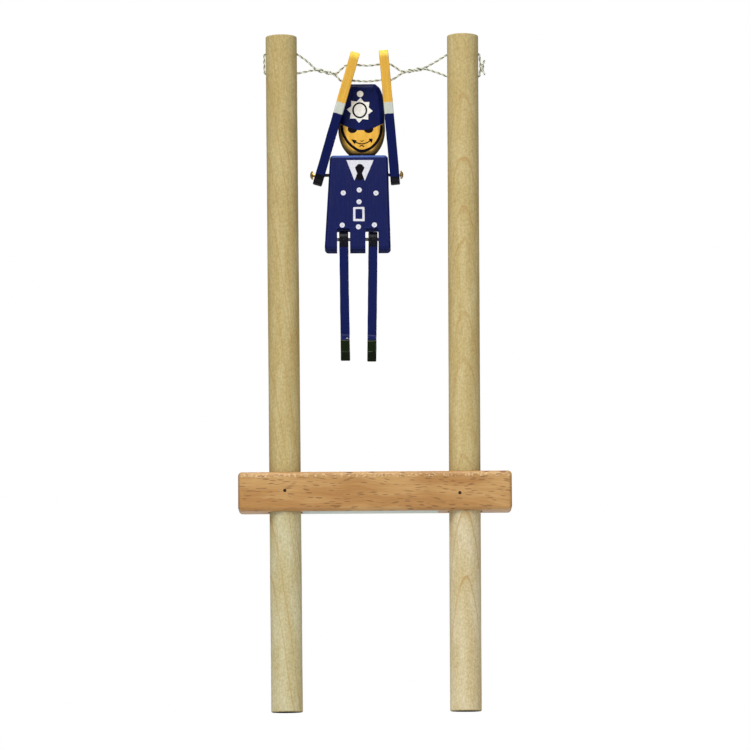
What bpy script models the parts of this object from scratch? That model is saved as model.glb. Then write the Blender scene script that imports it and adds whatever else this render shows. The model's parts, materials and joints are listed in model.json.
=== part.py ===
"""Squeeze acrobat toy: a jointed wooden figure on a twisted cord loop between two sticks.

The sticks turn on nails in a cross bar. X runs from stick to stick, the figure faces -Y and Z is up.
Every piece is placed from the stick plane, and PLANE_Y puts that plane in the frame.
"""
import math

import bmesh
import bpy
from mathutils import Matrix, Vector

for old in list(bpy.data.objects):
    bpy.data.objects.remove(old)

MM = 0.001

PLANE_Y = -2.583 * MM  # the sticks' plane, which centres the object's box on Y = 0

# Sticks and cross bar
STICK_LENGTH = 260 * MM
STICK_RADIUS = 6 * MM
STICK_SPLAY = math.radians(0.24)
STICK_X = 34.2 * MM  # each stick's axis at the bar
STICK_EDGE = 0.5 * MM
BAR_SIZE = (104 * MM, 15 * MM, 15 * MM)
BAR_Z = 83.5 * MM
BAR_EDGE = 1.5 * MM
BAR_HOLE = (13.3 * MM, 12.5 * MM)  # widened along X, so that the sticks can rock
PIVOTS = {"left": (-34.2 * MM, 83.8 * MM), "right": (32.2 * MM, 82.5 * MM)}
PIVOT_RADIUS = 0.45 * MM
PIVOT_SPAN = (-6.9 * MM, 6.3 * MM)
PIVOT_BORE_END = 6.4 * MM
NAIL_GAP = 0.12 * MM
THROUGH = 9 * MM  # a bore's half length where it runs right through a piece

# Cord
CORD_RADIUS = 0.45 * MM
CORD_HOLE_RADIUS = 0.9 * MM
STICK_HOLES_Z = {"left": (253.4 * MM, 245.6 * MM), "right": (252.7 * MM, 244.0 * MM)}
TWIST_RADIUS = 0.55 * MM
TWIST_HALF_TURNS = 3
TWISTS = {"left": ((-22.3, 247.3), (-13.8, 245.1)), "right": ((20.9, 247.4), (11.3, 245.8))}  # (x, z) in mm
KNOT_AT = (42.25 * MM, 0, 247.5 * MM)
KNOT_RADII = (1.1 * MM, 1.1 * MM, 1.8 * MM)
TAILS = (((0.3, -0.6, -1.0), (0.9, -1.6, -3.0)), ((0.2, 0.4, 1.0), (1.0, 1.0, 2.9)))  # in mm, from the knot

# Arms: each leans back from the cord by ARM_LEAN, and reaches from its tip to its end, as (x, z)
ARM_LEAN = math.radians(10)
SPIN_Z = 245.8 * MM
SHOULDER_DOWN = 39.4 * MM  # from the spin axis to the shoulder axis, along the arms
ARM_THICK = 3.65 * MM
ARM_DEPTH = 5.6 * MM
ARM_EDGE = 0.7 * MM
ARMS = {
    "left": ((-6.3 * MM, 7.9 * MM), (-21.5 * MM, -43.3 * MM)),
    "right": ((4.4 * MM, 8.7 * MM), (8.75 * MM, -43.3 * MM)),
}
HAND_HOLES = {"left": (2.9 * MM, -3.1 * MM), "right": (3.2 * MM, -2.9 * MM)}

# Figure: x from the frame, z from the shoulder axis, leaning back by BODY_LEAN
BODY_LEAN = math.radians(4)
TORSO_TOP = 7.15 * MM
TORSO_BOTTOM = -30.3 * MM
TORSO_TOP_X = (-16.4 * MM, 5.85 * MM)
TORSO_BOTTOM_X = (-18.75 * MM, 6.75 * MM)
TORSO_HALF = 3.75 * MM
TORSO_CORNER = 1.5 * MM
TORSO_EDGE = 1.2 * MM
SLOT_X = (-11.41 * MM, -0.51 * MM)
SLOT_WIDTH = 5.0 * MM
SLOT_TOP = -21.6 * MM
HEAD_X = -4.14 * MM
HEAD_HALF = 3.5 * MM
HEAD_EDGE = 2.6 * MM
HEAD_BOTTOM = 7.35 * MM
CHIN_Z = 18.0 * MM
CHIN_RADII = (9.07 * MM, 12.0 * MM)
CHIN_ARC = 55  # degrees of the chin's ellipse on each side
HELMET_SIDE = ((9.0, 20.5), (8.9, 24.0), (8.7, 27.5), (8.4, 30.4), (7.8, 32.8), (5.4, 36.0))
PEG_RADIUS = 1.5 * MM
PEG_SPAN = (2.6 * MM, 12.6 * MM)
NAIL_RADIUS = 0.62 * MM
NAIL_HEAD_RADIUS = 1.75 * MM
NAIL_DOME = 1.1 * MM
NAIL_DEPTH = 8.0 * MM

# Legs, from the hip pin's axis
HIP_Z = -25.4 * MM
HIP_RADIUS = 0.65 * MM
HIP_PIN_X = (-16.6 * MM, 4.6 * MM)
LEG_THICK = 3.5 * MM
LEG_HALF_DEPTH = 2.9 * MM
LEG_EDGE = 0.4 * MM
LEG_TILT = {"left": math.radians(-0.45), "right": math.radians(0.95)}
LEG_X = {"left": -11.33 * MM, "right": -0.1 * MM}
LEG_LIFT = {"left": 0.35 * MM, "right": 0.0}
HEEL_Z = -47.3 * MM
SOLE_TIP = (-7.0 * MM, -44.4 * MM)
TOE_TOP = (-6.9 * MM, -40.1 * MM)
INSTEP = (-2.9 * MM, -37.8 * MM)

parts = bpy.data.collections.new("squeeze_acrobat")
cutters = bpy.data.collections.new("cutters")
for collection in (parts, cutters):
    bpy.context.scene.collection.children.link(collection)


def material(name, colour, roughness, metallic=0.0):
    made = bpy.data.materials.new(name)
    made.use_nodes = True
    shader = made.node_tree.nodes["Principled BSDF"]
    shader.inputs["Base Color"].default_value = (*colour, 1)
    shader.inputs["Roughness"].default_value = roughness
    shader.inputs["Metallic"].default_value = metallic
    return made


BIRCH = material("pale_birch", (0.58, 0.46, 0.24), 0.6)
BEECH = material("oiled_beech", (0.49, 0.27, 0.11), 0.4)
NAVY = material("navy_paint", (0.013, 0.018, 0.09), 0.3)
FLESH = material("flesh_paint", (0.85, 0.48, 0.1), 0.4)
BRASS = material("brass", (0.72, 0.5, 0.15), 0.3, 1.0)
STEEL = material("steel", (0.35, 0.34, 0.32), 0.35, 1.0)
COTTON = material("cotton_twine", (0.75, 0.73, 0.64), 0.9)


def empty(name, parent, location=(0, 0, 0), lean=0.0):
    """A joint's axis along its own X, leaning about X."""
    made = bpy.data.objects.new(name, None)
    made.location = location
    made.rotation_euler.x = lean
    made.parent = parent
    parts.objects.link(made)
    return made


def add(name, mesh, finish, parent, location=(0, 0, 0), rotation=(0, 0, 0), smooth=35):
    """A part's object, shaded smooth up to an angle in degrees."""
    made = bpy.data.objects.new(name, mesh)
    made.location = location
    made.rotation_euler = rotation
    made.parent = parent
    mesh.materials.clear()
    mesh.materials.append(finish)
    mesh.shade_smooth()
    mesh.set_sharp_from_angle(angle=math.radians(smooth))
    parts.objects.link(made)
    return made


def cutter(name, mesh, parent, location=(0, 0, 0), rotation=(0, 0, 0)):
    made = bpy.data.objects.new(name, mesh)
    made.location = location
    made.rotation_euler = rotation
    made.parent = parent
    made.hide_render = True
    made.display_type = "WIRE"
    cutters.objects.link(made)
    return made


def combine(target, tool, operation="DIFFERENCE"):
    step = target.modifiers.new(tool.name, "BOOLEAN")
    step.operation = operation
    step.solver = "EXACT"
    step.object = tool


def edges(target, width, segments):
    step = target.modifiers.new("edges", "BEVEL")
    step.width = width
    step.segments = segments
    step.limit_method = "ANGLE"
    step.angle_limit = math.radians(40)


def box_mesh(name, size, centre=(0, 0, 0)):
    shape = bmesh.new()
    place = Matrix.Translation(centre) @ Matrix.Diagonal((*size, 1))
    bmesh.ops.create_cube(shape, size=1, matrix=place)
    return finished(shape, name)


def rod_mesh(name, radius, low, high, axis="Z", sides=24):
    """A cylinder along one axis, from low to high on it."""
    turn = {"X": Matrix.Rotation(math.pi / 2, 4, "Y"), "Y": Matrix.Rotation(-math.pi / 2, 4, "X")}
    shape = bmesh.new()
    place = turn.get(axis, Matrix()) @ Matrix.Translation((0, 0, (low + high) / 2))
    bmesh.ops.create_cone(
        shape, cap_ends=True, segments=sides, radius1=radius, radius2=radius, depth=high - low, matrix=place
    )
    return finished(shape, name)


def finished(shape, name):
    bmesh.ops.recalc_face_normals(shape, faces=shape.faces)
    mesh = bpy.data.meshes.new(name)
    shape.to_mesh(mesh)
    shape.free()
    return mesh


def mesh_of_curve(curve_object):
    """The curve's evaluated mesh with its caps welded; the curve object is removed."""
    bpy.context.scene.collection.objects.link(curve_object)
    graph = bpy.context.evaluated_depsgraph_get()
    mesh = bpy.data.meshes.new_from_object(curve_object.evaluated_get(graph))
    name = curve_object.name
    bpy.data.objects.remove(curve_object)
    shape = bmesh.new()
    shape.from_mesh(mesh)
    bmesh.ops.remove_doubles(shape, verts=shape.verts, dist=0.00001)
    return finished(shape, name)


def arc(centre, radii, start, stop, steps):
    """Points on an ellipse's arc, with its angles in degrees."""
    found = []
    for i in range(steps + 1):
        angle = math.radians(start + (stop - start) * i / steps)
        x = centre[0] + radii[0] * math.cos(angle)
        found.append(Vector((x, centre[1] + radii[1] * math.sin(angle))))
    return found


def filleted(corners, radius, steps=5):
    """A polygon with each corner replaced by an arc."""
    found = []
    for i, corner in enumerate(corners):
        here = Vector(corner)
        back = (Vector(corners[i - 1]) - here).normalized()
        ahead = (Vector(corners[(i + 1) % len(corners)]) - here).normalized()
        half = back.angle(ahead) / 2
        centre = here + (back + ahead).normalized() * radius / math.sin(half)
        first = here + back * radius / math.tan(half) - centre
        last = here + ahead * radius / math.tan(half) - centre
        sweep = first.angle(last)
        for k in range(steps + 1):
            share = k / steps
            part = math.sin((1 - share) * sweep) * first + math.sin(share * sweep) * last
            found.append(centre + part / math.sin(sweep))
    return found


def inset(outline, distance):
    """A closed outline, drawn anticlockwise, moved inwards."""
    found = []
    for i, point in enumerate(outline):
        back = (point - outline[i - 1]).normalized()
        ahead = (outline[(i + 1) % len(outline)] - point).normalized()
        inward = Vector((-back.y - ahead.y, back.x + ahead.x)).normalized()
        found.append(point + inward * distance / max(0.3, inward.dot(Vector((-back.y, back.x)))))
    return found


def board(name, outline, half, edge, rounding=2):
    """A flat board from its outline, with rounded edges, lying in XY with its thickness along Z."""
    curve = bpy.data.curves.new(name, "CURVE")
    curve.dimensions = "2D"
    curve.fill_mode = "BOTH"
    curve.extrude = half - edge
    curve.bevel_depth = edge
    curve.bevel_resolution = rounding
    curve.render_resolution_u = 0
    line = curve.splines.new("POLY")
    line.use_cyclic_u = True
    rim = inset(outline, edge)
    line.points.add(len(rim) - 1)
    for point, place in zip(line.points, rim):
        point.co = (place.x, place.y, 0, 1)
    return mesh_of_curve(bpy.data.objects.new(name, curve))


FACING = Matrix.Rotation(math.pi / 2, 4, "X")  # an outline's y becomes z, and its face looks along -Y
EDGE_ON = Matrix(((0, 0, 1, 0), (1, 0, 0, 0), (0, 1, 0, 0), (0, 0, 0, 1)))  # (x, y) becomes (y, z)


def tube(name, points):
    """A round cord along a line, with flat ends."""
    curve = bpy.data.curves.new(name, "CURVE")
    curve.dimensions = "3D"
    curve.bevel_depth = CORD_RADIUS
    curve.bevel_resolution = 2
    curve.use_fill_caps = True
    curve.render_resolution_u = 0
    line = curve.splines.new("POLY")
    line.points.add(len(points) - 1)
    for point, place in zip(line.points, points):
        point.co = (*place, 1)
    return mesh_of_curve(bpy.data.objects.new(name, curve))


def stick_axis_x(side, z):
    """A stick's axis at a height: the tops splay apart."""
    sign = -1 if side == "left" else 1
    return sign * (STICK_X + (z - BAR_Z) * math.tan(STICK_SPLAY))


plane = empty("stick_plane", None, (0, PLANE_Y, 0))


def make_bar():
    bar = add("cross_bar", box_mesh("cross_bar", BAR_SIZE, (0, 0, BAR_Z)), BEECH, plane)
    edges(bar, BAR_EDGE, 3)
    for side, (x, z) in PIVOTS.items():
        hole = rod_mesh(f"stick_hole_{side}", 1, -12 * MM, 12 * MM, sides=48)
        hole.transform(Matrix.Diagonal((BAR_HOLE[0] / 2, BAR_HOLE[1] / 2, 1, 1)))
        centre = (stick_axis_x(side, BAR_Z), 0, BAR_Z)
        combine(bar, cutter(f"stick_hole_{side}", hole, plane, centre))
        bore = rod_mesh(f"pivot_bore_{side}", PIVOT_RADIUS + NAIL_GAP, -THROUGH, PIVOT_BORE_END, "Y", 16)
        combine(bar, cutter(f"pivot_bore_{side}", bore, plane, (x, 0, z)))
        nail = rod_mesh(f"pivot_nail_{side}", PIVOT_RADIUS, *PIVOT_SPAN, "Y", 16)
        add(f"pivot_nail_{side}", nail, STEEL, plane, (x, 0, z))


def make_stick(side):
    """A dowel on its pivot, with the nail's bore and two cord holes."""
    sign = -1 if side == "left" else 1
    x, z = PIVOTS[side]
    axis = empty(f"{side}_stick_axis", plane, (x, 0, z))
    lean = (0, sign * STICK_SPLAY, 0)
    middle = STICK_LENGTH / 2
    stand = (STICK_RADIUS - STICK_EDGE) * math.sin(STICK_SPLAY)  # it stands on its foot's outer rim
    centre = (stick_axis_x(side, middle) - x, 0, middle + stand - z)
    mesh = rod_mesh(f"stick_{side}", STICK_RADIUS, -middle, middle, sides=64)
    stick = add(f"stick_{side}", mesh, BIRCH, axis, centre, lean)
    edges(stick, STICK_EDGE, 2)
    bore = rod_mesh(f"stick_bore_{side}", PIVOT_RADIUS + NAIL_GAP, -THROUGH, THROUGH, "Y", 16)
    combine(stick, cutter(f"stick_bore_{side}", bore, axis))
    for k, height in enumerate(STICK_HOLES_Z[side]):
        hole = rod_mesh(f"cord_hole_{side}_{k}", CORD_HOLE_RADIUS, -THROUGH, THROUGH, "X", 16)
        place = (stick_axis_x(side, height) - x, 0, height - z)
        combine(stick, cutter(f"cord_hole_{side}_{k}", hole, axis, place))


def arm_x(side, down):
    """An arm's centre line at a height on its own leaning plane."""
    (tip_x, tip_z), (end_x, end_z) = ARMS[side]
    return tip_x + (end_x - tip_x) * (tip_z - down) / (tip_z - end_z)


def hand_hole(side, k):
    """The middle of a hand's cord hole, from the stick plane."""
    height = HAND_HOLES[side][k]
    y = -height * math.sin(ARM_LEAN)
    return Vector((arm_x(side, height), y, SPIN_Z + height * math.cos(ARM_LEAN)))


def make_arm(side, axis):
    """A flat strip with round ends, pierced for the two cords and the shoulder nail."""
    (tip_x, tip_z), (end_x, end_z) = ARMS[side]
    slant = math.atan2(tip_x - end_x, tip_z - end_z)
    half_length = math.hypot(tip_x - end_x, tip_z - end_z) / 2
    radius = ARM_DEPTH / 2
    outline = arc((0, half_length - radius), (radius, radius), 0, 180, 12)
    outline += arc((0, radius - half_length), (radius, radius), 180, 360, 12)
    mesh = board(f"arm_{side}", outline, ARM_THICK / 2, ARM_EDGE)
    centre = Matrix.Translation(((tip_x + end_x) / 2, 0, (tip_z + end_z) / 2))
    mesh.transform(centre @ Matrix.Rotation(slant, 4, "Y") @ EDGE_ON)
    arm = add(f"arm_{side}", mesh, NAVY, axis)
    for k, height in enumerate(HAND_HOLES[side]):
        hole = rod_mesh(f"hand_hole_{side}_{k}", CORD_HOLE_RADIUS, -4 * MM, 4 * MM, "X", 16)
        combine(arm, cutter(f"hand_hole_{side}_{k}", hole, axis, (arm_x(side, height), 0, height)))
    bore = rod_mesh(f"arm_bore_{side}", NAIL_RADIUS + 0.2 * MM, -4 * MM, 4 * MM, "X", 20)
    place = (arm_x(side, -SHOULDER_DOWN), 0, -SHOULDER_DOWN)
    combine(arm, cutter(f"arm_bore_{side}", bore, axis, place))


def torso_side(side):
    """The torso's edge at the shoulder axis."""
    k = 0 if side == "left" else 1
    share = TORSO_TOP / (TORSO_TOP - TORSO_BOTTOM)
    return TORSO_TOP_X[k] + (TORSO_BOTTOM_X[k] - TORSO_TOP_X[k]) * share


def make_torso(axis):
    corners = [
        (TORSO_TOP_X[0], TORSO_TOP),
        (TORSO_BOTTOM_X[0], TORSO_BOTTOM),
        (TORSO_BOTTOM_X[1], TORSO_BOTTOM),
        (TORSO_TOP_X[1], TORSO_TOP),
    ]
    mesh = board("torso", filleted(corners, TORSO_CORNER), TORSO_HALF, TORSO_EDGE)
    mesh.transform(FACING)
    torso = add("torso", mesh, NAVY, axis)
    for k, x in enumerate(SLOT_X):
        low = TORSO_BOTTOM - 4 * MM
        size = (SLOT_WIDTH, 12 * MM, SLOT_TOP - low)
        slot = cutter(f"leg_slot_{k}", box_mesh(f"leg_slot_{k}", size, (x, 0, (SLOT_TOP + low) / 2)), axis)
        combine(torso, slot)
    low, high = HIP_PIN_X
    pin_bore = rod_mesh("hip_bore", HIP_RADIUS + NAIL_GAP, low - 0.3 * MM, high + 0.3 * MM, "X", 20)
    combine(torso, cutter("hip_bore", pin_bore, axis, (0, 0, HIP_Z)))
    for side in ("left", "right"):
        sign = -1 if side == "left" else 1
        span = sorted((sign * 3 * MM, -sign * (NAIL_DEPTH + 0.3 * MM)))
        bore = rod_mesh(f"torso_bore_{side}", NAIL_RADIUS + NAIL_GAP, *span, "X", 20)
        combine(torso, cutter(f"torso_bore_{side}", bore, axis, (torso_side(side), 0, 0)))
    peg_hole = rod_mesh("torso_peg_hole", PEG_RADIUS + NAIL_GAP, PEG_SPAN[0] - 0.3 * MM, 10 * MM, sides=20)
    combine(torso, cutter("torso_peg_hole", peg_hole, axis, (HEAD_X, 0, 0)))


def head_outline():
    """A round chin that runs into a flat where it meets the torso, and a tapering helmet, anticlockwise."""
    turn = math.radians(CHIN_ARC)
    heading = math.atan2(CHIN_RADII[1] * math.cos(turn), CHIN_RADII[0] * math.sin(turn))
    blend = (CHIN_Z - CHIN_RADII[1] * math.sin(turn) - HEAD_BOTTOM) / (1 - math.cos(heading))
    flat = CHIN_RADII[0] * math.cos(turn) - blend * math.sin(heading)
    right = arc((flat, HEAD_BOTTOM + blend), (blend, blend), -90, math.degrees(heading) - 90, 4)
    right += arc((0, CHIN_Z), CHIN_RADII, -CHIN_ARC, 0, 10)[1:]
    right += [Vector((x * MM, z * MM)) for x, z in HELMET_SIDE]
    return right + [Vector((-point.x, point.y)) for point in reversed(right)]


def make_head(axis):
    mesh = board("head", head_outline(), HEAD_EDGE, HEAD_EDGE * 0.98, 4)
    stretch = Matrix.Diagonal((1, 1, HEAD_HALF / HEAD_EDGE, 1))
    mesh.transform(Matrix.Translation((HEAD_X, 0, 0)) @ FACING @ stretch)
    head = add("head", mesh, FLESH, axis, smooth=50)
    hole = rod_mesh("head_peg_hole", PEG_RADIUS + NAIL_GAP, 4 * MM, PEG_SPAN[1] + 0.3 * MM, sides=20)
    combine(head, cutter("head_peg_hole", hole, axis, (HEAD_X, 0, 0)))
    add("neck_peg", rod_mesh("neck_peg", PEG_RADIUS, *PEG_SPAN, sides=20), BIRCH, axis, (HEAD_X, 0, 0))


def nail_mesh(name, shank):
    """A dome-headed nail along -X: its head's flat side is at 0 and its shank runs to +X."""
    profile = [(0.0, shank), (NAIL_RADIUS * 0.5, shank), (NAIL_RADIUS, shank - 1.2 * MM), (NAIL_RADIUS, 0)]
    profile += [(NAIL_HEAD_RADIUS, 0)]
    for point in arc((0, -0.25 * MM), (NAIL_HEAD_RADIUS, NAIL_DOME - 0.25 * MM), 0, 90, 5):
        profile.append((point.x, 2 * -0.25 * MM - point.y))
    shape = bmesh.new()
    points = [shape.verts.new((along, 0, out)) for out, along in profile]
    for first, second in zip(points, points[1:]):
        shape.edges.new((first, second))
    bmesh.ops.spin(
        shape,
        geom=list(shape.verts) + list(shape.edges),
        cent=(0, 0, 0),
        axis=(1, 0, 0),
        angle=2 * math.pi,
        steps=24,
        use_duplicate=False,
    )
    bmesh.ops.remove_doubles(shape, verts=shape.verts, dist=0.00001)
    return finished(shape, name)


def make_shoulder_nail(side, axis):
    """The nail's head stands 0.3 mm off the arm's outer face."""
    sign = 1 if side == "left" else -1
    slant = math.atan2(ARMS[side][0][0] - ARMS[side][1][0], ARMS[side][0][1] - ARMS[side][1][1])
    edge = ARM_THICK / 2 / math.cos(slant) + abs(math.tan(slant)) * NAIL_HEAD_RADIUS + 0.3 * MM
    outside = arm_x(side, -SHOULDER_DOWN) - sign * edge
    shank = abs(torso_side(side) - outside) + NAIL_DEPTH
    turn = (0, 0, 0) if side == "left" else (0, 0, math.pi)
    name = f"shoulder_nail_{side}"
    add(name, nail_mesh(name, shank), BRASS, axis, (outside, 0, 0), turn)


def make_leg(side, axis):
    """A flat strip with a round top, ending in a boot whose sole rises to its toe."""
    lift = LEG_LIFT[side]
    radius = LEG_HALF_DEPTH
    outline = arc((0, lift), (radius, radius), 0, 180, 12)
    for y, z in (INSTEP, TOE_TOP, SOLE_TIP, (0.6 * MM, HEEL_Z), (2.9 * MM, HEEL_Z + 0.7 * MM)):
        outline.append(Vector((y, z + lift)))
    mesh = board(f"leg_{side}", outline, LEG_THICK / 2, LEG_EDGE)
    mesh.transform(Matrix.Rotation(LEG_TILT[side], 4, "Y") @ EDGE_ON)
    leg = add(f"leg_{side}", mesh, NAVY, axis, (LEG_X[side], 0, 0))
    bore = rod_mesh(f"leg_bore_{side}", HIP_RADIUS + 0.2 * MM, -4 * MM, 4 * MM, "X", 20)
    combine(leg, cutter(f"leg_bore_{side}", bore, axis, (LEG_X[side], 0, 0)))


def twist(start, stop, phase):
    """One strand of the twisted pair, half a turn at a time round the line from start to stop."""
    along = (stop - start).normalized()
    across = Vector((0, 1, 0))
    up = across.cross(along)
    if up.z < 0:
        up = -up
    steps = 5 * TWIST_HALF_TURNS
    found = []
    for i in range(steps + 1):
        angle = phase + math.pi * TWIST_HALF_TURNS * i / steps
        ring = TWIST_RADIUS * (math.cos(angle) * up + math.sin(angle) * across)
        found.append(start.lerp(stop, i / steps) + ring)
    return found


def side_run(side, hole, hand, phase):
    """A strand from inside a stick's cord hole, through the twist, to a hand's cord hole."""
    sign = -1 if side == "left" else 1
    inner = abs(stick_axis_x(side, STICK_HOLES_Z[side][hole])) - STICK_RADIUS
    height = STICK_HOLES_Z[side][hole]
    first, last = (Vector((x * MM, 0, z * MM)) for x, z in TWISTS[side])
    run = [Vector((sign * (inner + d * MM), 0, height)) for d in (3, 0.4)]
    run.append(Vector((sign * (inner - 3.6 * MM), 0, (height * 0.55 + first.z * 0.45))))
    run += twist(first, last, phase)
    at = hand_hole(side, hand)
    run.append(Vector((at.x + sign * 2.7 * MM, at.y * 0.9, at.z * 0.9 + last.z * 0.1)))
    run += [at + Vector((sign * d * MM, 0, 0)) for d in (1.2, -1.2)]
    return run


def outer_turn(side, z, towards):
    """The cord where it leaves a stick's hole on the outside and turns along the stick."""
    sign = -1 if side == "left" else 1
    face = abs(stick_axis_x(side, z)) + STICK_RADIUS
    step = 1 if towards > z else -1
    return [
        Vector((sign * (face - 3 * MM), 0, z)),
        Vector((sign * (face + 0.1 * MM), 0, z)),
        Vector((sign * (face + 0.5 * MM), 0, z + step * 0.2 * MM)),
        Vector((sign * (face + 0.62 * MM), 0, z + step * 0.8 * MM)),
    ]


def make_cord():
    """One loop through both sticks and both hands, tied outside the right stick."""
    knot = Vector(KNOT_AT)
    upper_left, lower_left = STICK_HOLES_Z["left"]
    upper_right, lower_right = STICK_HOLES_Z["right"]
    route = [knot] + list(reversed(outer_turn("right", upper_right, knot.z)))
    route += side_run("right", 0, 1, 0)
    route += list(reversed(side_run("left", 0, 1, 0)))
    route += outer_turn("left", upper_left, lower_left)
    route += list(reversed(outer_turn("left", lower_left, upper_left)))
    route += side_run("left", 1, 0, math.pi)
    route += list(reversed(side_run("right", 1, 0, math.pi)))
    route += outer_turn("right", lower_right, knot.z) + [knot]
    cord = add("cord_loop", tube("cord_loop", route), COTTON, plane)
    ball = bmesh.new()
    place = Matrix.Translation(KNOT_AT) @ Matrix.Diagonal((*KNOT_RADII, 1))
    bmesh.ops.create_uvsphere(ball, u_segments=16, v_segments=10, radius=1, matrix=place)
    combine(cord, cutter("knot", finished(ball, "knot"), plane), "UNION")
    for k, ends in enumerate(TAILS):
        tail = [knot + Vector(end) * MM for end in ends]
        combine(cord, cutter(f"tail_{k}", tube(f"tail_{k}", tail), plane), "UNION")


make_bar()
make_stick("left")
make_stick("right")
spin_axis = empty("figure_spin_axis", plane, (0, 0, SPIN_Z), ARM_LEAN)
shoulder_y = SHOULDER_DOWN * math.sin(ARM_LEAN)
shoulder_z = SPIN_Z - SHOULDER_DOWN * math.cos(ARM_LEAN)
shoulder_axis = empty("shoulder_axis", plane, (0, shoulder_y, shoulder_z), -BODY_LEAN)
hip_y = shoulder_y + HIP_Z * math.sin(BODY_LEAN)
hip_z = shoulder_z + HIP_Z * math.cos(BODY_LEAN)
hip_axis = empty("hip_axis", plane, (0, hip_y, hip_z))
for wing in ("left", "right"):
    make_arm(wing, spin_axis)
    make_shoulder_nail(wing, shoulder_axis)
    make_leg(wing, hip_axis)
make_torso(shoulder_axis)
make_head(shoulder_axis)
add("hip_pin", rod_mesh("hip_pin", HIP_RADIUS, *HIP_PIN_X, "X", 20), STEEL, shoulder_axis, (0, 0, HIP_Z))
make_cord()
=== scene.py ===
import json
import math
import random

import bmesh
import bpy
from mathutils import Matrix, Vector, noise
from mathutils.bvhtree import BVHTree
from mathutils.geometry import tessellate_polygon


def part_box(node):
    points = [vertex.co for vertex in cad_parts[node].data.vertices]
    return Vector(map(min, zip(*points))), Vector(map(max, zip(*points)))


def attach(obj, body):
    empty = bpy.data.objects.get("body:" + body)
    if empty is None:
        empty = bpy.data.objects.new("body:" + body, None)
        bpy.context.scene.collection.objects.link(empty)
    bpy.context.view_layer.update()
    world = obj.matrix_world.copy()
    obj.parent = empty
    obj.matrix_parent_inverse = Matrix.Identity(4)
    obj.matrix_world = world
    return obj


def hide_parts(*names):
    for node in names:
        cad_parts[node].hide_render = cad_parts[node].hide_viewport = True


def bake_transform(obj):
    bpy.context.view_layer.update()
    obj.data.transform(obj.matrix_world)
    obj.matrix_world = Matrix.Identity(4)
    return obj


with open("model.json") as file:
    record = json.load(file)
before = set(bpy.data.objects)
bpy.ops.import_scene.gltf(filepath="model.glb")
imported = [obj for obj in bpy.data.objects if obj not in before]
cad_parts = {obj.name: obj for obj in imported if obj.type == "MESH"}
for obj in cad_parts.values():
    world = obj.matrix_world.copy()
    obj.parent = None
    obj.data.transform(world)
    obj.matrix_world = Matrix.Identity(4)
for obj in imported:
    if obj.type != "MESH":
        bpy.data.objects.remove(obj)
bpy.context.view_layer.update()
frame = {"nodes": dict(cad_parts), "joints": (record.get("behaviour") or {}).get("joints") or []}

# Each piece is made in millimetres in its own coordinates, and a place matrix takes it to the frame.
MM = 0.001
SIDES = {"left": -1, "right": 1}
JOINT = {joint["name"]: Vector(joint["pos_m"]) for joint in frame["joints"]}
SPIN = JOINT["figure_spin"]
PLANE_Y = SPIN.y
ARM_LEAN = 10
BODY_LEAN = -4

# Sticks and bar
STICK_RADIUS = 6.0
STICK_LENGTH = 260.0
STICK_EDGE = 0.5
WITHIN_BAR = (76, 90)  # heights between which the bar hides the sticks
CORD_HOLE_RADIUS = 0.85
CORD_HOLES = {"left": (253.4, 245.6), "right": (252.7, 244.0)}
CUTTER_REACH = 9  # half the length of the cutters for the holes, which is past both sides of a stick
BAR_EDGE = 1.5
BAR_HOLES = (13.3, 12.5)
NAIL_BORE = 0.62
NAIL_DEEP = 6.4  # how far past the bar's middle its nail bores go
GRAIN_SLOPE = 0.14  # how fast the sticks' growth layers deepen along them
ARCHES = {  # the heights of the grain arches' tops
    "left": (52, 74, 118, 133, 168, 196, 214, 243, 262, 287),
    "right": (50, 76, 97.3, 134.7, 151.4, 180.1, 192.5, 212.6, 236),
}

# Arms, from the spin axis: each runs from its tip to its end, as (x, z)
ARMS = {"left": ((-6.3, 7.9), (-21.5, -43.3)), "right": ((4.4, 8.7), (8.75, -43.3))}
HAND_HOLES = {"left": (2.9, -3.1), "right": (3.2, -2.9)}
HAND_HOLE_RADIUS = 0.9
SHOULDER_HOLE_RADIUS = 0.8
ARM_THICK = 3.65
ARM_DEPTH = 5.6
SHOULDER_DOWN = 39.4

# Figure, from the shoulder axis
TORSO = ((-16.4, 7.15), (-18.75, -30.3), (6.75, -30.3), (5.85, 7.15))
TORSO_HALF = 3.75
TORSO_EDGE = 1.2
SLOTS_X = (-11.41, -0.51)
SLOT_WIDTH = 5.0
SLOT_TOP = -21.6
HIP_DOWN = -25.4
HIP_PIN_RADIUS = 0.65
HIP_BORE = (0.77, -17.0, 5.0)  # its radius and where it starts and ends
LEG_HOLE_RADIUS = 0.85
PEG_HOLE_RADIUS = 1.62
HEAD_X = -4.14
HEAD_BOTTOM = 7.35
HEAD_HALF = 3.5
HEAD_EDGE = 2.6
CHIN_Z = 18.0
CHIN_RADII = (9.07, 12.0)
CHIN_ARC = 55
HELMET_SIDE = ((9.0, 20.5), (8.9, 24.0), (8.7, 27.5), (8.4, 30.4), (7.8, 32.8), (6.9, 34.6), (5.3, 36.0))
BRIM = (-4.12, 16.88, 0.043)  # its lowest point's x and z, and how fast it rises
NAIL_RADIUS = 1.75
NAIL_HEAD = 1.16
NAIL_BRASS_LENGTH = 2.4  # the shank is darker further in than this, between the arm and the torso

# Legs, from the hip
LEGS = {"left": (-11.33, -0.45, 0.35), "right": (-0.1, 0.95, 0.0)}  # x, tilt in degrees, lift
LEG_THICK = 3.5
LEG_HALF_DEPTH = 2.9
BOOT = ((-2.9, -37.8), (-6.9, -40.1), (-7.0, -44.4), (0.6, -47.3), (2.9, -46.6))

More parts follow.
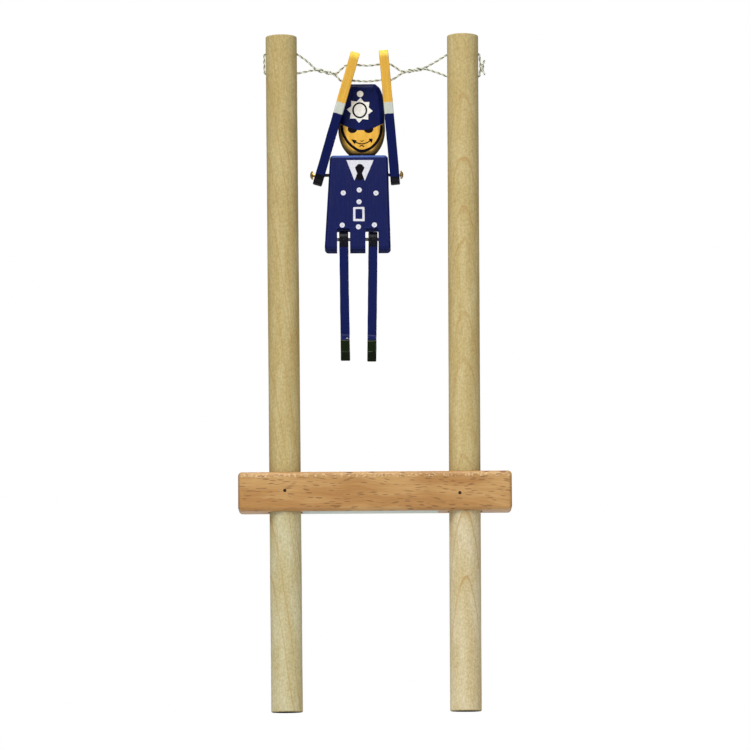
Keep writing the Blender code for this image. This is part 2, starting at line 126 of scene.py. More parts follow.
# Twine: two plies round the cord's own line
PLY_RADIUS = 0.27
PLY_OFFSET = 0.21
PLY_PITCH = 4.6
PLY_SPACING = 0.16
FUZZ_RADIUS = 0.022
TWIST_RADIUS = 0.42
TWIST_HALF_TURNS = 3
TWISTS = {"left": ((-22.3, 247.3), (-13.8, 245.1)), "right": ((20.9, 247.4), (11.3, 245.8))}
KNOT_AT = Vector((42.25, 0, 247.5))
TAILS = (
    ((0.3, -0.6, -1.0), (0.6, -1.0, -1.9), (0.9, -1.6, -3.0)),
    ((0.2, 0.4, 1.0), (0.7, 0.8, 1.9), (1.0, 1.0, 2.9)),
)

# Print: a skin of paint on the wood, and a thicker one where it lies over another print
PROUD = 0.045
PROUD_OVER = 0.1
SUNK = 0.08

# Camera, in metres and degrees
CAMERA_AT = (0.0003, PLANE_Y - 1.8, -0.0884)
CAMERA_TILT = 96.873
CAMERA_ROLL = -0.4
CAMERA_LENS = 227.9
FLOOR_FADE = (0.25, 0.85)  # distances from the middle where the floor starts and ends fading
LIGHTS_AIM = Vector((0, 0, 0.14))

# Colours of the paint
NAVY = (0.0045, 0.0095, 0.084)
# painted highlight on the torso's rounded top edges
HIGHLIGHT_NAVY = (0.055, 0.12, 0.39)
# painted light on the shaded roofs of the leg slots
SLOT_ROOF_LIT_NAVY = (0.016, 0.028, 0.19)
HELMET_STREAK = (0.003, 0.006, 0.05)
BLACK = (0.004, 0.004, 0.009)
RUBBED = (0.09, 0.09, 0.075)
BOOTS = (0.005, 0.0105, 0.0015)
# painted highlight on the toes' lower front edges
TOE_EDGE_HIGHLIGHT = (0.13, 0.16, 0.11)
CUFFS = (0.645, 0.67, 0.58)
HANDS = (0.84, 0.47, 0.07)
# painted highlight at the hands' rounded tips
HAND_TIP_HIGHLIGHT = (0.93, 0.66, 0.085)
FACE = (0.82, 0.465, 0.072)
# painted shade on the face's lower sides and rounded edge
FACE_SIDE_SHADE = (0.48, 0.295, 0.05)
RIM_SHADE_PALE = (0.40, 0.235, 0.05)
RIM_SHADE_DARK = (0.17, 0.10, 0.025)
RIM_SHADE_DEEP = (0.13, 0.075, 0.02)

# Colours of the wood, metal and cotton
# the colour of a small pale spot on the left boot
PALE_SPOT_COLOUR = (0.55, 0.50, 0.40)
BIRCH_FLECK = (0.36, 0.25, 0.10)
BIRCH_LINE = (0.44, 0.27, 0.09)
BIRCH_END = (0.30, 0.2, 0.08)
BEECH_DARK = (0.44, 0.23, 0.075)
BEECH_LIGHT = (0.55, 0.325, 0.125)
BEECH_FINE = (0.27, 0.12, 0.04)
BEECH_DASH = (0.15, 0.062, 0.018)
# painted highlight on the bar's varnished top edge
BEECH_PAINTED_GLINT = (0.80, 0.58, 0.33)
BEECH_END = (0.24, 0.12, 0.045)
BEECH_PORE = (0.12, 0.05, 0.02)
# the darker colour of the nails' shanks further in
SHANK_DARK = (0.035, 0.028, 0.02)
COTTON = (0.78, 0.78, 0.65)
COTTON_SHADE = (0.60, 0.61, 0.49)
# painted shade in the twine's grooves
COTTON_GROOVE_SHADE = (0.10, 0.12, 0.08)


# --- Shapes -------------------------------------------------------------------------------------


def placed(origin, lean=0.0):
    """Millimetres from a point in the frame, leaning about X by an angle in degrees."""
    return Matrix.Translation(origin) @ Matrix.Rotation(math.radians(lean), 4, "X") @ Matrix.Scale(MM, 4)


STICK_PLANE = placed((0, PLANE_Y, 0))
ARM_PLACE = placed(SPIN, ARM_LEAN)
BODY_PLACE = placed(JOINT["left_shoulder"], BODY_LEAN)
HIP_PLACE = placed(JOINT["left_hip"])
FACING = Matrix.Rotation(math.pi / 2, 4, "X")  # an outline's y becomes z
EDGE_ON = Matrix(((0, 0, 1, 0), (1, 0, 0, 0), (0, 1, 0, 0), (0, 0, 0, 1)))  # (x, y) becomes (y, z)
ALONG_X = Matrix.Rotation(math.pi / 2, 4, "Y")
ALONG_Y = Matrix.Rotation(-math.pi / 2, 4, "X")


def arc(centre, radii, start, stop, steps):
    """Points on an ellipse's arc, with its angles in degrees."""
    found = []
    for i in range(steps + 1):
        angle = math.radians(start + (stop - start) * i / steps)
        x = centre[0] + radii[0] * math.cos(angle)
        found.append(Vector((x, centre[1] + radii[1] * math.sin(angle))))
    return found


def filleted(corners, radius, steps=8):
    """A polygon with each corner replaced by an arc."""
    found = []
    for i, corner in enumerate(corners):
        here = Vector(corner)
        back = (Vector(corners[i - 1]) - here).normalized()
        ahead = (Vector(corners[(i + 1) % len(corners)]) - here).normalized()
        half = back.angle(ahead) / 2
        centre = here + (back + ahead).normalized() * radius / math.sin(half)
        first = here + back * radius / math.tan(half) - centre
        last = here + ahead * radius / math.tan(half) - centre
        sweep = first.angle(last)
        for k in range(steps + 1):
            share = k / steps
            part = math.sin((1 - share) * sweep) * first + math.sin(share * sweep) * last
            found.append(centre + part / math.sin(sweep))
    return found


def inset(outline, distance):
    """A closed outline, drawn anticlockwise, moved inwards."""
    found = []
    for i, point in enumerate(outline):
        back = (point - outline[i - 1]).normalized()
        ahead = (outline[(i + 1) % len(outline)] - point).normalized()
        inward = Vector((-back.y - ahead.y, back.x + ahead.x)).normalized()
        found.append(point + inward * distance / max(0.3, inward.dot(Vector((-back.y, back.x)))))
    return found


def smoothed(points, per_span):
    """Points on a smooth curve through the given ones."""
    found = []
    for i in range(len(points) - 1):
        before = points[max(i - 1, 0)]
        start = points[i]
        stop = points[i + 1]
        after = points[min(i + 2, len(points) - 1)]
        for k in range(per_span):
            t = k / per_span
            linear = (stop - before) * t
            square = (2 * before - 5 * start + 4 * stop - after) * t**2
            cube = (3 * start - before - 3 * stop + after) * t**3
            found.append(start + (linear + square + cube) / 2)
    return found + [points[-1]]


def evened(points, spacing):
    """The same line with its points an even distance apart."""
    found = [points[0]]
    left = spacing
    for start, stop in zip(points, points[1:]):
        length = (stop - start).length
        while left < length:
            found.append(start.lerp(stop, left / length))
            left += spacing
        left -= length
    return found + [points[-1]]


def heading(points, i):
    """A line's direction at one of its points."""
    return (points[min(i + 1, len(points) - 1)] - points[max(i - 1, 0)]).normalized()


def carried(points):
    """For each point of a line: the point, how far along it is, and two directions across the line.

    The directions are carried along without twisting.
    """
    across = (points[1] - points[0]).orthogonal().normalized()
    run = 0.0
    for i, point in enumerate(points):
        along = heading(points, i)
        across = (across - along * across.dot(along)).normalized()
        run += (point - points[i - 1]).length if i else 0
        yield point, run, across, along.cross(across)


def joined(shape, first, second):
    """A strip of faces between two closed rings of the same number of points."""
    for i in range(len(first)):
        shape.faces.new((first[i - 1], first[i], second[i], second[i - 1]))


def slab(outline, half, edge, depth=None, steps=5):
    """A board in XY whose rim is rounded: edge is the rounding's width in the plane, and depth along Z."""
    depth = edge if depth is None else depth
    levels = []
    for k in range(steps + 1):
        angle = math.pi / 2 * k / steps
        levels.append((edge * (1 - math.sin(angle)), half - depth * (1 - math.cos(angle))))
    levels += [(distance, -z) for distance, z in reversed(levels)]
    shape = bmesh.new()
    rings = [[shape.verts.new((p.x, p.y, z)) for p in inset(outline, distance)] for distance, z in levels]
    for first, second in zip(rings, rings[1:]):
        joined(shape, first, second)
    shape.faces.new(rings[0])
    shape.faces.new(rings[-1])
    return closed(shape)


def closed(shape):
    """The shape with its large faces split into triangles and all its normals pointing outwards."""
    bmesh.ops.triangulate(shape, faces=[face for face in shape.faces if len(face.verts) > 4])
    bmesh.ops.recalc_face_normals(shape, faces=shape.faces)
    return shape


def turned(profile, sides=48):
    """A turned solid about Z from its (radius, height) profile, which starts and ends on the axis."""
    shape = bmesh.new()
    points = [shape.verts.new((out, 0, z)) for out, z in profile]
    for pair in zip(points, points[1:]):
        shape.edges.new(pair)
    line = shape.verts[:] + shape.edges[:]
    bmesh.ops.spin(shape, geom=line, cent=(0, 0, 0), axis=(0, 0, 1), angle=2 * math.pi, steps=sides)
    bmesh.ops.remove_doubles(shape, verts=shape.verts, dist=0.001)
    return closed(shape)


def rod(radius, low, high, turn=Matrix(), centre=(0, 0, 0), ease=0.0, sides=32):
    """A pin along an axis, with its two rims eased."""
    rims = [(radius, low), (radius, high)]
    if ease:
        bend = [(ease * (1 - math.sin(a)), ease * (1 - math.cos(a))) for a in (0, 0.5, 1.0, 1.57)]
        rims = [(radius - out, low + up) for out, up in bend]
        rims += [(radius - out, high - up) for out, up in reversed(bend)]
    shape = turned([(0, low), *rims, (0, high)], sides)
    shape.transform(Matrix.Translation(centre) @ turn)
    return shape


def in_scene(name, data):
    """A new object in the scene."""
    made = bpy.data.objects.new(name, data)
    bpy.context.scene.collection.objects.link(made)
    return made


def as_object(name, shape):
    """An object made of the shape, which is used up."""
    mesh = bpy.data.meshes.new(name)
    shape.to_mesh(mesh)
    shape.free()
    return in_scene(name, mesh)


def carved(shape, *tools):
    """The shape with each tool's space cut out of it."""
    block = as_object("block", shape)
    cutters = [as_object("cutter", tool) for tool in tools]
    for tool in cutters:
        step = block.modifiers.new("cut", "BOOLEAN")
        step.operation = "DIFFERENCE"
        step.solver = "EXACT"
        step.object = tool
    graph = bpy.context.evaluated_depsgraph_get()
    mesh = bpy.data.meshes.new_from_object(block.evaluated_get(graph))
    result = bmesh.new()
    result.from_mesh(mesh)
    for used in [block, *cutters]:
        bpy.data.objects.remove(used)
    return result


def wavered(shape, amount, size, seed=0):
    """Small unevenness of sawn and sanded wood, with its amount and size in millimetres."""
    for vert in shape.verts:
        vert.co += noise.noise_vector(vert.co / size + Vector((seed * 7.3, 0, 0))) * amount
    return shape


def add_tube(shape, points, sizes, sides, middle=None):
    """A tube along a line, with its radius at each point.

    Its spot coordinates are unrolled: round it in X and Y, and along it in Z. With a middle line of
    as many points, X is the distance from that line instead.
    """
    spot = shape.verts.layers.float_vector.get("spot") or shape.verts.layers.float_vector.new("spot")
    rings = []
    for i, (point, run, across, other) in enumerate(carried(points)):
        ring = []
        for k in range(sides):
            angle = 2 * math.pi * k / sides
            out = math.cos(angle) * across + math.sin(angle) * other
            vert = shape.verts.new(point + out * sizes[i])
            off = (vert.co - middle[i]).length if middle else math.cos(angle) * sizes[i]
            vert[spot] = (off, math.sin(angle) * sizes[i], run)
            ring.append(vert)
        rings.append(ring)
    for first, second in zip(rings, rings[1:]):
        joined(shape, first, second)
    shape.faces.new(rings[0])
    shape.faces.new(rings[-1])


def piece(name, shape, place, body, finish, stands_for=(), smooth=40):
    """A finished piece in the frame. It keeps its own coordinates, in millimetres, as its spot attribute."""
    made = as_object(name, shape)
    mesh = made.data
    if "spot" not in mesh.attributes:
        spot = mesh.attributes.new("spot", "FLOAT_VECTOR", "POINT")
        spot.data.foreach_set("vector", [c for vert in mesh.vertices for c in vert.co])
    mesh.transform(place)
    mesh.materials.append(finish)
    mesh.shade_smooth()
    mesh.set_sharp_from_angle(angle=math.radians(smooth))
    made.modifiers.new("flat faces stay flat", "WEIGHTED_NORMAL").keep_sharp = True
    if isinstance(body, str):
        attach(made, body)
    else:
        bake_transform(made)
    if stands_for:
        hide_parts(*stands_for)


# --- Materials ----------------------------------------------------------------------------------


class Finish:
    """A material whose nodes read a piece's own coordinates, in millimetres, from its spot attribute."""

    def __init__(self, name, roughness, **values):
        self.material = bpy.data.materials.new(name)
        self.material.use_nodes = True
        self.tree = self.material.node_tree
        self.shader = self.tree.nodes["Principled BSDF"]
        self.shader.inputs["Roughness"].default_value = roughness
        for socket, value in values.items():
            self.shader.inputs[socket.replace("_", " ")].default_value = value
        spot = self.node("Attribute", attribute_name="spot")
        self.spot = spot.outputs["Vector"]
        self.x, self.y, self.z = self.node("SeparateXYZ", self.spot).outputs

    def feed(self, socket, value):
        """Links the socket to another one, or sets it to a number, a vector or a colour."""
        if isinstance(value, bpy.types.NodeSocket):
            self.tree.links.new(value, socket)
        elif socket.type == "RGBA":
            socket.default_value = (*value, 1)
        else:
            socket.default_value = value

    def node(self, kind, *inputs, **settings):
        """A new node with its inputs, in order, and its settings."""
        made = self.tree.nodes.new("ShaderNode" + kind)
        for name, value in settings.items():
            setattr(made, name, value)
        for socket, value in zip(made.inputs, inputs):
            self.feed(socket, value)
        return made

    def calc(self, operation, *inputs):
        return self.node("Math", *inputs, operation=operation).outputs[0]

    def times(self, product, *factors):
        for factor in factors:
            product = self.calc("MULTIPLY", product, factor)
        return product

    def sum(self, *terms, start=0.0):
        """A weighted sum, from (weight, socket) pairs, added to the start."""
        total = start
        for weight, value in terms:
            total = self.calc("MULTIPLY_ADD", value, weight, total)
        return total

    def off(self, value, middle=0.0):
        """How far the value is from the middle, on either side."""
        return self.calc("ABSOLUTE", self.calc("SUBTRACT", value, middle))

    def ease(self, value, low, high):
        """0 where the value is at low and 1 where it is at high, with a smooth step between them."""
        return self.node("MapRange", value, low, high, interpolation_type="SMOOTHSTEP").outputs[0]

    def mix(self, share, first, second, blend="MIX"):
        made = self.node("Mix", share, data_type="RGBA", blend_type=blend)
        self.feed(made.inputs[6], first)
        self.feed(made.inputs[7], second)
        return made.outputs[2]

    def tint(self, share, base, colour):
        """The base, multiplied by the colour where the share is 1."""
        return self.mix(share, base, colour, "MULTIPLY")

    def noise(self, scales, detail=2.0, place=None):
        """Noise with its own scale along X, Y and Z, in features per millimetre."""
        where = self.node("VectorMath", place or self.spot, scales, operation="MULTIPLY").outputs[0]
        made = self.node("TexNoise", where)
        made.inputs["Scale"].default_value = 1
        made.inputs["Detail"].default_value = detail
        return made.outputs[0]

    def cells(self, scales, place):
        """Distance to the nearest of scattered points, and two random values for each point."""
        where = self.node("VectorMath", place, scales, operation="MULTIPLY").outputs[0]
        made = self.node("TexVoronoi", where)
        made.inputs["Scale"].default_value = 1
        return made.outputs["Distance"], *self.node("SeparateXYZ", made.outputs["Color"]).outputs[:2]

    def look(self, colour, height, distance, roughness=None):
        """Connects the colour, a bump whose depth is in millimetres, and any varying roughness."""
        self.feed(self.shader.inputs["Base Color"], colour)
        if roughness is not None:
            self.feed(self.shader.inputs["Roughness"], roughness)
        bump = self.node("Bump")
        bump.inputs["Distance"].default_value = distance * MM
        self.feed(bump.inputs["Height"], height)
        self.feed(self.shader.inputs["Normal"], bump.outputs[0])
        return self.material


def birch(name, turn, arches, upper, lower):
    """Pale dowel wood. Growth layers cut at a slant show as arches on one side and lines on the flanks.

    The arches' tops are at the given heights, on the side that the turn picks: 0 for the front. The
    wood has one colour above the bar and another below it.
    """
    made = Finish(name, 0.62, Specular_IOR_Level=0.25)
    bend = made.noise((0.16, 0.16, 0.05), 2)
    deep = made.sum((math.sin(turn), made.x), (math.cos(turn), made.y), start=STICK_RADIUS)
    level = made.sum((1, made.z), (1 / GRAIN_SLOPE, deep), (9.0, bend), start=-4.5)
    patchy = made.ease(made.noise((0.25, 0.25, 0.09), 2), 0.30, 0.56)
    lines = 0.0
    for arch in arches:
        above = made.calc("SUBTRACT", level, arch)
        line = made.times(made.ease(above, 0.7, 0.1), made.ease(above, -2.6, -0.1))
        lines = made.calc("MAXIMUM", lines, line)
    lines = made.times(lines, made.sum((0.42, patchy), start=0.3))
    fibres = made.noise((3.0, 3.0, 0.16), 3)
    broad = made.noise((0.22, 0.22, 0.04), 2)
    mottle = made.noise((1.5, 1.5, 1.05), 3)
    spots = made.noise((2.1, 2.1, 1.3), 1)
    fleck = made.times(made.ease(spots, 0.58, 0.70), made.ease(broad, 0.34, 0.6))
    base = made.mix(made.ease(made.z, *WITHIN_BAR), lower, upper)
    base = made.tint(made.ease(broad, 0.3, 0.72), base, (0.90, 0.84, 0.70))
    base = made.tint(made.ease(fibres, 0.3, 0.72), base, (0.90, 0.87, 0.80))
    base = made.tint(made.ease(mottle, 0.38, 0.64), base, (0.83, 0.83, 0.78))
    base = made.mix(made.times(fleck, 0.4), base, BIRCH_FLECK)
    base = made.mix(lines, base, BIRCH_LINE)
    top = made.ease(made.z, STICK_LENGTH - 0.5, STICK_LENGTH - 0.1)
    end = made.calc("MAXIMUM", top, made.ease(made.z, 0.5, 0.1))
    base = made.mix(made.times(end, 0.45), base, BIRCH_END)
    height = made.sum((0.4, fibres), (0.5, mottle), (-0.4, fleck))
    return made.look(base, height, 0.1, made.sum((0.25, fibres), start=0.5))


def beech():
    """Varnished beech: many short dark dashes along X in warm brown wood, and pores on its end grain."""
    made = Finish("varnished_beech", 0.4, Specular_IOR_Level=0.28, Coat_Weight=0.14, Coat_Roughness=0.2)
    drift = made.noise((0.045, 0.12, 0.12), 1)
    bent = made.sum((1, made.z), (5.0, drift), (0.035, made.x))
    warp = made.node("CombineXYZ", made.x, made.y, bent).outputs[0]
    # The dashes are thin in Z on the front and back, and thin in Y on the top and bottom.
    dash = 0.0
    for scales, low, high in (((0.21, 0.36, 1.15), 6.7, 6.1), ((0.21, 1.15, 0.36), 6.1, 6.7)):
        gap, chance, strength = made.cells(scales, warp)
        drawn = made.times(made.ease(gap, 0.36, 0.2), made.ease(chance, 0.04, 0.1))
        drawn = made.times(drawn, made.sum((0.6, strength), start=0.4))
        dash = made.calc("MAXIMUM", dash, made.times(drawn, made.ease(made.off(made.z), low, high)))
    fine_gap, _, fine_strength = made.cells((0.42, 2.1, 2.1), warp)
    fine = made.times(made.ease(fine_gap, 0.36, 0.15), fine_strength)
    fibres = made.noise((0.14, 2.6, 2.6), 3, warp)
    broad = made.noise((0.035, 0.2, 0.2), 2, warp)
    base = made.mix(made.ease(broad, 0.38, 0.64), BEECH_DARK, BEECH_LIGHT)
    base = made.tint(made.ease(fibres, 0.35, 0.7), base, (0.88, 0.82, 0.74))
    base = made.mix(made.times(fine, 0.28), base, BEECH_FINE)
    base = made.mix(made.times(dash, 0.95), base, BEECH_DASH)
    # A painted highlight: the colour is lightened in patches along the front's rounded top edge, where the
    # varnish glints.
    ripple = made.noise((1.1, 0.5, 1.6), 3)
    crest = made.times(made.ease(made.z, 4.9, 5.6), made.ease(made.y, -5.8, -6.6))
    crest = made.times(crest, made.ease(made.z, 6.9, 6.3))
    painted_glint = made.times(made.ease(ripple, 0.5, 0.6), 0.6)
    base = made.mix(made.times(crest, painted_glint), base, BEECH_PAINTED_GLINT)
    end = made.ease(made.off(made.x), 51.2, 51.9)
    pores = made.ease(made.noise((0.5, 5.0, 5.0), 2), 0.45, 0.65)
    base = made.mix(made.times(end, 0.5), base, BEECH_END)
    base = made.mix(made.times(pores, 0.4, end), base, BEECH_PORE)
    height = made.sum((0.4, fibres), (-0.8, dash), (-0.3, fine), (1.6, made.times(crest, ripple)))
    return made.look(base, height, 0.1, made.sum((0.3, fibres), start=0.24))


def paint(name, first, bands, tip=None, worn_axis=None, pale_spot=None, dry=None, highlight_above=None, sole=None):
    """Brushed paint in bands down Z, each with the height where it starts and its colour.

    The tip is lightened over its first millimetres: a painted highlight. Round the height named worn_axis
    the paint is rubbed. Round one given point a small pale spot is painted. Below the height named dry,
    and within the slots, the paint has soaked into the sawn wood and is matt; the slots' roofs get a
    lighter navy, painted light against the shade there. On the rounded edges above a given height the
    navy is paler: a painted highlight. Below the height named sole it has no gloss, and the toe's lower
    front edge is lightened in patches: a painted highlight.
    """
    made = Finish(name, 0.3, Specular_IOR_Level=0.15)
    wobble = made.noise((0.5, 0.5, 0.0), 2)
    level = made.sum((1, made.z), (0.75, wobble), start=-0.375)
    streak = made.noise((1.4, 1.4, 0.08), 3)
    speck = made.noise((2.4, 2.4, 2.4), 2)
    # The tip is lightened towards its end: a painted highlight.
    colour = first if tip is None else made.mix(made.ease(level, -3.6, -0.8), first, tip)
    for start, paint_colour in bands:
        colour = made.mix(made.ease(level, start + 0.12, start - 0.12), colour, paint_colour)
    colour = made.tint(made.ease(streak, 0.3, 0.72), colour, (0.8, 0.82, 0.86))
    colour = made.tint(made.ease(speck, 0.45, 0.75), colour, (0.9, 0.9, 0.88))
    if worn_axis is not None:
        patches = made.ease(made.noise((1.6, 1.6, 1.6), 2), 0.52, 0.66)
        rub = made.times(made.ease(made.off(made.z, worn_axis), 1.7, 0.5), patches)
        colour = made.mix(made.times(rub, 0.45), colour, RUBBED)
    if highlight_above is not None:
        # Paler navy on the rounded top edges: a painted highlight.
        flat_end = TORSO_HALF - TORSO_EDGE
        rounding = made.ease(made.off(made.y), flat_end - 0.2, flat_end + 0.25 * TORSO_EDGE)
        rounding = made.times(rounding, made.ease(made.z, highlight_above, highlight_above + 0.45))
        colour = made.mix(made.times(rounding, 0.85), colour, HIGHLIGHT_NAVY)
    if sole is not None:
        under = made.ease(made.z, sole + 0.25, sole)
        made.feed(made.shader.inputs["Specular IOR Level"], made.sum((-0.14, under), start=0.15))
        # A paler line in patches on the toe's lower front edge: a painted highlight.
        edge = made.times(made.ease(made.off(made.z, sole), 0.2, 0.08), made.ease(made.y, -6.0, -6.4))
        edge = made.times(edge, made.ease(made.noise((1.1, 1.1, 1.1), 1), 0.46, 0.54))
        colour = made.mix(made.times(edge, 0.6), colour, TOE_EDGE_HIGHLIGHT)
    if pale_spot is not None:
        # A small pale spot round one given point.
        away = made.node("VectorMath", made.spot, pale_spot, operation="DISTANCE").outputs["Value"]
        ragged = made.sum((1, away), (0.5, speck), start=-0.25)
        colour = made.mix(made.ease(ragged, 0.6, 0.45), colour, PALE_SPOT_COLOUR)
    rough = made.sum((0.2, streak), start=0.17)
    if dry is not None:
        matt = made.ease(made.z, dry + 0.5, dry)
        for x in SLOTS_X:
            within = made.ease(made.off(made.x, x), SLOT_WIDTH / 2 + 0.12, SLOT_WIDTH / 2 + 0.03)
            within = made.times(within, made.ease(made.z, SLOT_TOP + 0.12, SLOT_TOP + 0.03))
            matt = made.calc("MAXIMUM", matt, within)
            # The slots' roofs get a lighter navy: painted light against the shade that falls there.
            lit_roof = made.times(within, made.ease(made.z, SLOT_TOP - 0.5, SLOT_TOP - 0.2))
            colour = made.mix(lit_roof, colour, SLOT_ROOF_LIT_NAVY)
        rough = made.sum((0.6, matt), (1, rough))
    return made.look(colour, made.sum((0.6, streak), (0.3, speck)), 0.06, rough)


def head_paint():
    """Navy helmet above the brim's curve, and a face with painted shade: darker on its lower sides, and
    brown with streaks on its rounded edge.
    """
    made = Finish("head_paint", 0.36, Specular_IOR_Level=0.08)
    aside = made.off(made.x, BRIM[0])
    wobble = made.noise((0.6, 0.0, 0.6), 2)
    brim = made.sum((BRIM[2], made.times(aside, aside)), (0.3, wobble), start=BRIM[1] - 0.15)
    over = made.calc("SUBTRACT", made.z, brim)
    streak = made.noise((0.9, 0.9, 0.14), 3)
    speck = made.noise((2.2, 2.2, 2.2), 2)
    # The face's lower sides are darker: painted shade where they turn away from the light.
    side_shade = made.times(made.ease(aside, 5.4, 7.8), made.ease(made.z, 12.5, 18.0))
    face = made.mix(side_shade, FACE, FACE_SIDE_SHADE)
    face = made.tint(made.ease(streak, 0.35, 0.7), face, (0.86, 0.8, 0.66))
    # The rounded edge goes brown with streaks, darkest where it faces sideways: painted shade.
    depth = made.off(made.y)
    lines = made.ease(made.noise((0.3, 2.2, 0.3), 2), 0.35, 0.65)
    band = made.mix(lines, RIM_SHADE_PALE, RIM_SHADE_DARK)
    band = made.mix(made.ease(depth, 2.9, 1.4), band, RIM_SHADE_DEEP)
    face = made.mix(made.ease(depth, 3.42, 3.0), face, band)
    helmet = made.mix(made.ease(streak, 0.3, 0.72), NAVY, HELMET_STREAK)
    colour = made.mix(made.ease(over, -0.1, 0.1), face, helmet)
    colour = made.tint(made.ease(speck, 0.5, 0.75), colour, (0.9, 0.9, 0.88))
    rough = made.sum((0.2, streak), start=0.17)
    return made.look(colour, made.sum((0.6, streak), (0.3, speck)), 0.06, rough)


def print_ink(name, colour, shade, gloss=0.15):
    """Thin printed paint, slightly uneven in its cover."""
    made = Finish(name, 0.3, Specular_IOR_Level=gloss)
    cover = made.noise((1.3, 1.3, 1.3), 3)
    return made.look(made.mix(made.ease(cover, 0.35, 0.7), colour, shade), cover, 0.03)


def metal(name, colour, dull, roughness, scratch, brass_length=None):
    """Metal with fine marks of its making and a dull film in patches, darker beyond a given length along Z.
    """
    made = Finish(name, roughness, Metallic=1.0)
    marks = made.noise(scratch, 3)
    film = made.noise((0.9, 0.9, 0.9), 2)
    shaded = made.mix(made.ease(film, 0.4, 0.75), colour, dull)
    if brass_length is not None:
        # The shank is darker further in, between the arm and the torso.
        shaded = made.mix(made.ease(made.z, brass_length - 0.1, brass_length + 0.1), shaded, SHANK_DARK)
    return made.look(shaded, marks, 0.02, made.sum((0.3, film), start=roughness - 0.1))


def twine_cotton():
    """Cotton plies: fine fibres along each ply, with painted shade in the grooves between the plies."""
    made = Finish("twine_cotton", 0.9, Specular_IOR_Level=0.15, Sheen_Weight=0.25, Sheen_Roughness=0.5)
    fibres = made.noise((9.0, 9.0, 1.1), 3)
    soil = made.noise((0.3, 0.3, 0.3), 2)
    from_middle = made.sum((1, made.x), (0.1, fibres), start=-0.05)
    base = made.mix(made.ease(fibres, 0.3, 0.7), COTTON, COTTON_SHADE)
    base = made.mix(made.ease(from_middle, 0.27, 0.37), COTTON_GROOVE_SHADE, base)
    base = made.tint(made.ease(soil, 0.45, 0.75), base, (0.86, 0.84, 0.74))
    return made.look(base, fibres, 0.08)


def paper():
    """Plain pale paper with a faint tooth."""
    made = Finish("plain_paper", 0.5, Specular_IOR_Level=0.3)
    tooth = made.noise((2.5, 2.5, 2.5), 3)
    return made.look(made.mix(tooth, (0.50, 0.55, 0.50), (0.57, 0.62, 0.57)), tooth, 0.02)


# --- Pieces -------------------------------------------------------------------------------------


def stick_ends(side):
    """The middles of a stick's bottom and top ends, in the frame."""
    points = [vert.co for vert in frame["nodes"][f"stick_{side}"].data.vertices]
    low = min(point.z for point in points)
    high = max(point.z for point in points)
    bottom = [point for point in points if point.z < low + 0.2 * MM]
    top = [point for point in points if point.z > high - 0.2 * MM]
    return sum(bottom, Vector()) / len(bottom), sum(top, Vector()) / len(top)


STICK_ENDS = {side: stick_ends(side) for side in SIDES}


def on_stick(side, height):
    """The point on a stick's axis at a height, both in the frame."""
    bottom, top = STICK_ENDS[side]
    return bottom.lerp(top, (height - bottom.z) / (top.z - bottom.z))


def stick_profile(length):
    """A dowel with eased ends, with rings enough in its ends and along it to be made uneven."""
    rim = []
    for a in (0, 0.4, 0.8, 1.2):
        rim.append((STICK_RADIUS - STICK_EDGE * (1 - math.sin(a)), STICK_EDGE * (1 - math.cos(a))))
    steps = 130
    straight = length - 2 * STICK_EDGE
    end = (0, 1.2, 2.6, 4.0, 5.0)
    profile = [(out, 0.0) for out in end] + rim
    profile += [(STICK_RADIUS, STICK_EDGE + straight * k / steps) for k in range(steps + 1)]
    profile += [(out, length - z) for out, z in reversed(rim)]
    return profile + [(out, length) for out in reversed(end)]


def make_stick(side, finish):
    """A dowel, slightly uneven along its length, pierced for the cord and its nail."""
    bottom, top = STICK_ENDS[side]
    length = (top - bottom).length / MM
    upright = Vector((0, 0, 1)).rotation_difference(top - bottom).to_matrix().to_4x4()
    place = Matrix.Translation(bottom) @ upright @ Matrix.Scale(MM, 4)
    shape = turned(stick_profile(length), 96)
    long_wave = 35.94
    short_wave = 2.2
    for vert in shape.verts:
        wave = noise.noise(vert.co / long_wave + Vector((side == "left", 0, 0)))
        wave += 0.4 * noise.noise(Vector((vert.co.x, vert.co.y, vert.co.z * 0.12)) / short_wave)
        vert.co.x *= 1 + 0.008 * wave
        vert.co.y *= 1 + 0.008 * wave
        if vert.co.z in (0.0, length):
            sawn = 0.09 * abs(noise.noise(vert.co * 0.9))
            vert.co.z += sawn if vert.co.z == 0 else -sawn
    tools = []
    to_own = place.inverted()
    for height in CORD_HOLES[side]:
        middle = to_own @ Vector((bottom.x, PLANE_Y, height * MM))
        tools.append(rod(CORD_HOLE_RADIUS, -CUTTER_REACH, CUTTER_REACH, ALONG_X, (0, 0, middle.z)))
    nail = to_own @ JOINT[f"{side}_stick_rock"]
    tools.append(rod(NAIL_BORE, -CUTTER_REACH, CUTTER_REACH, ALONG_Y, nail))
    body = f"{side}_stick"
    piece(f"dowel_{side}", carved(shape, *tools), place, body, finish, [f"stick_{side}"], 50)


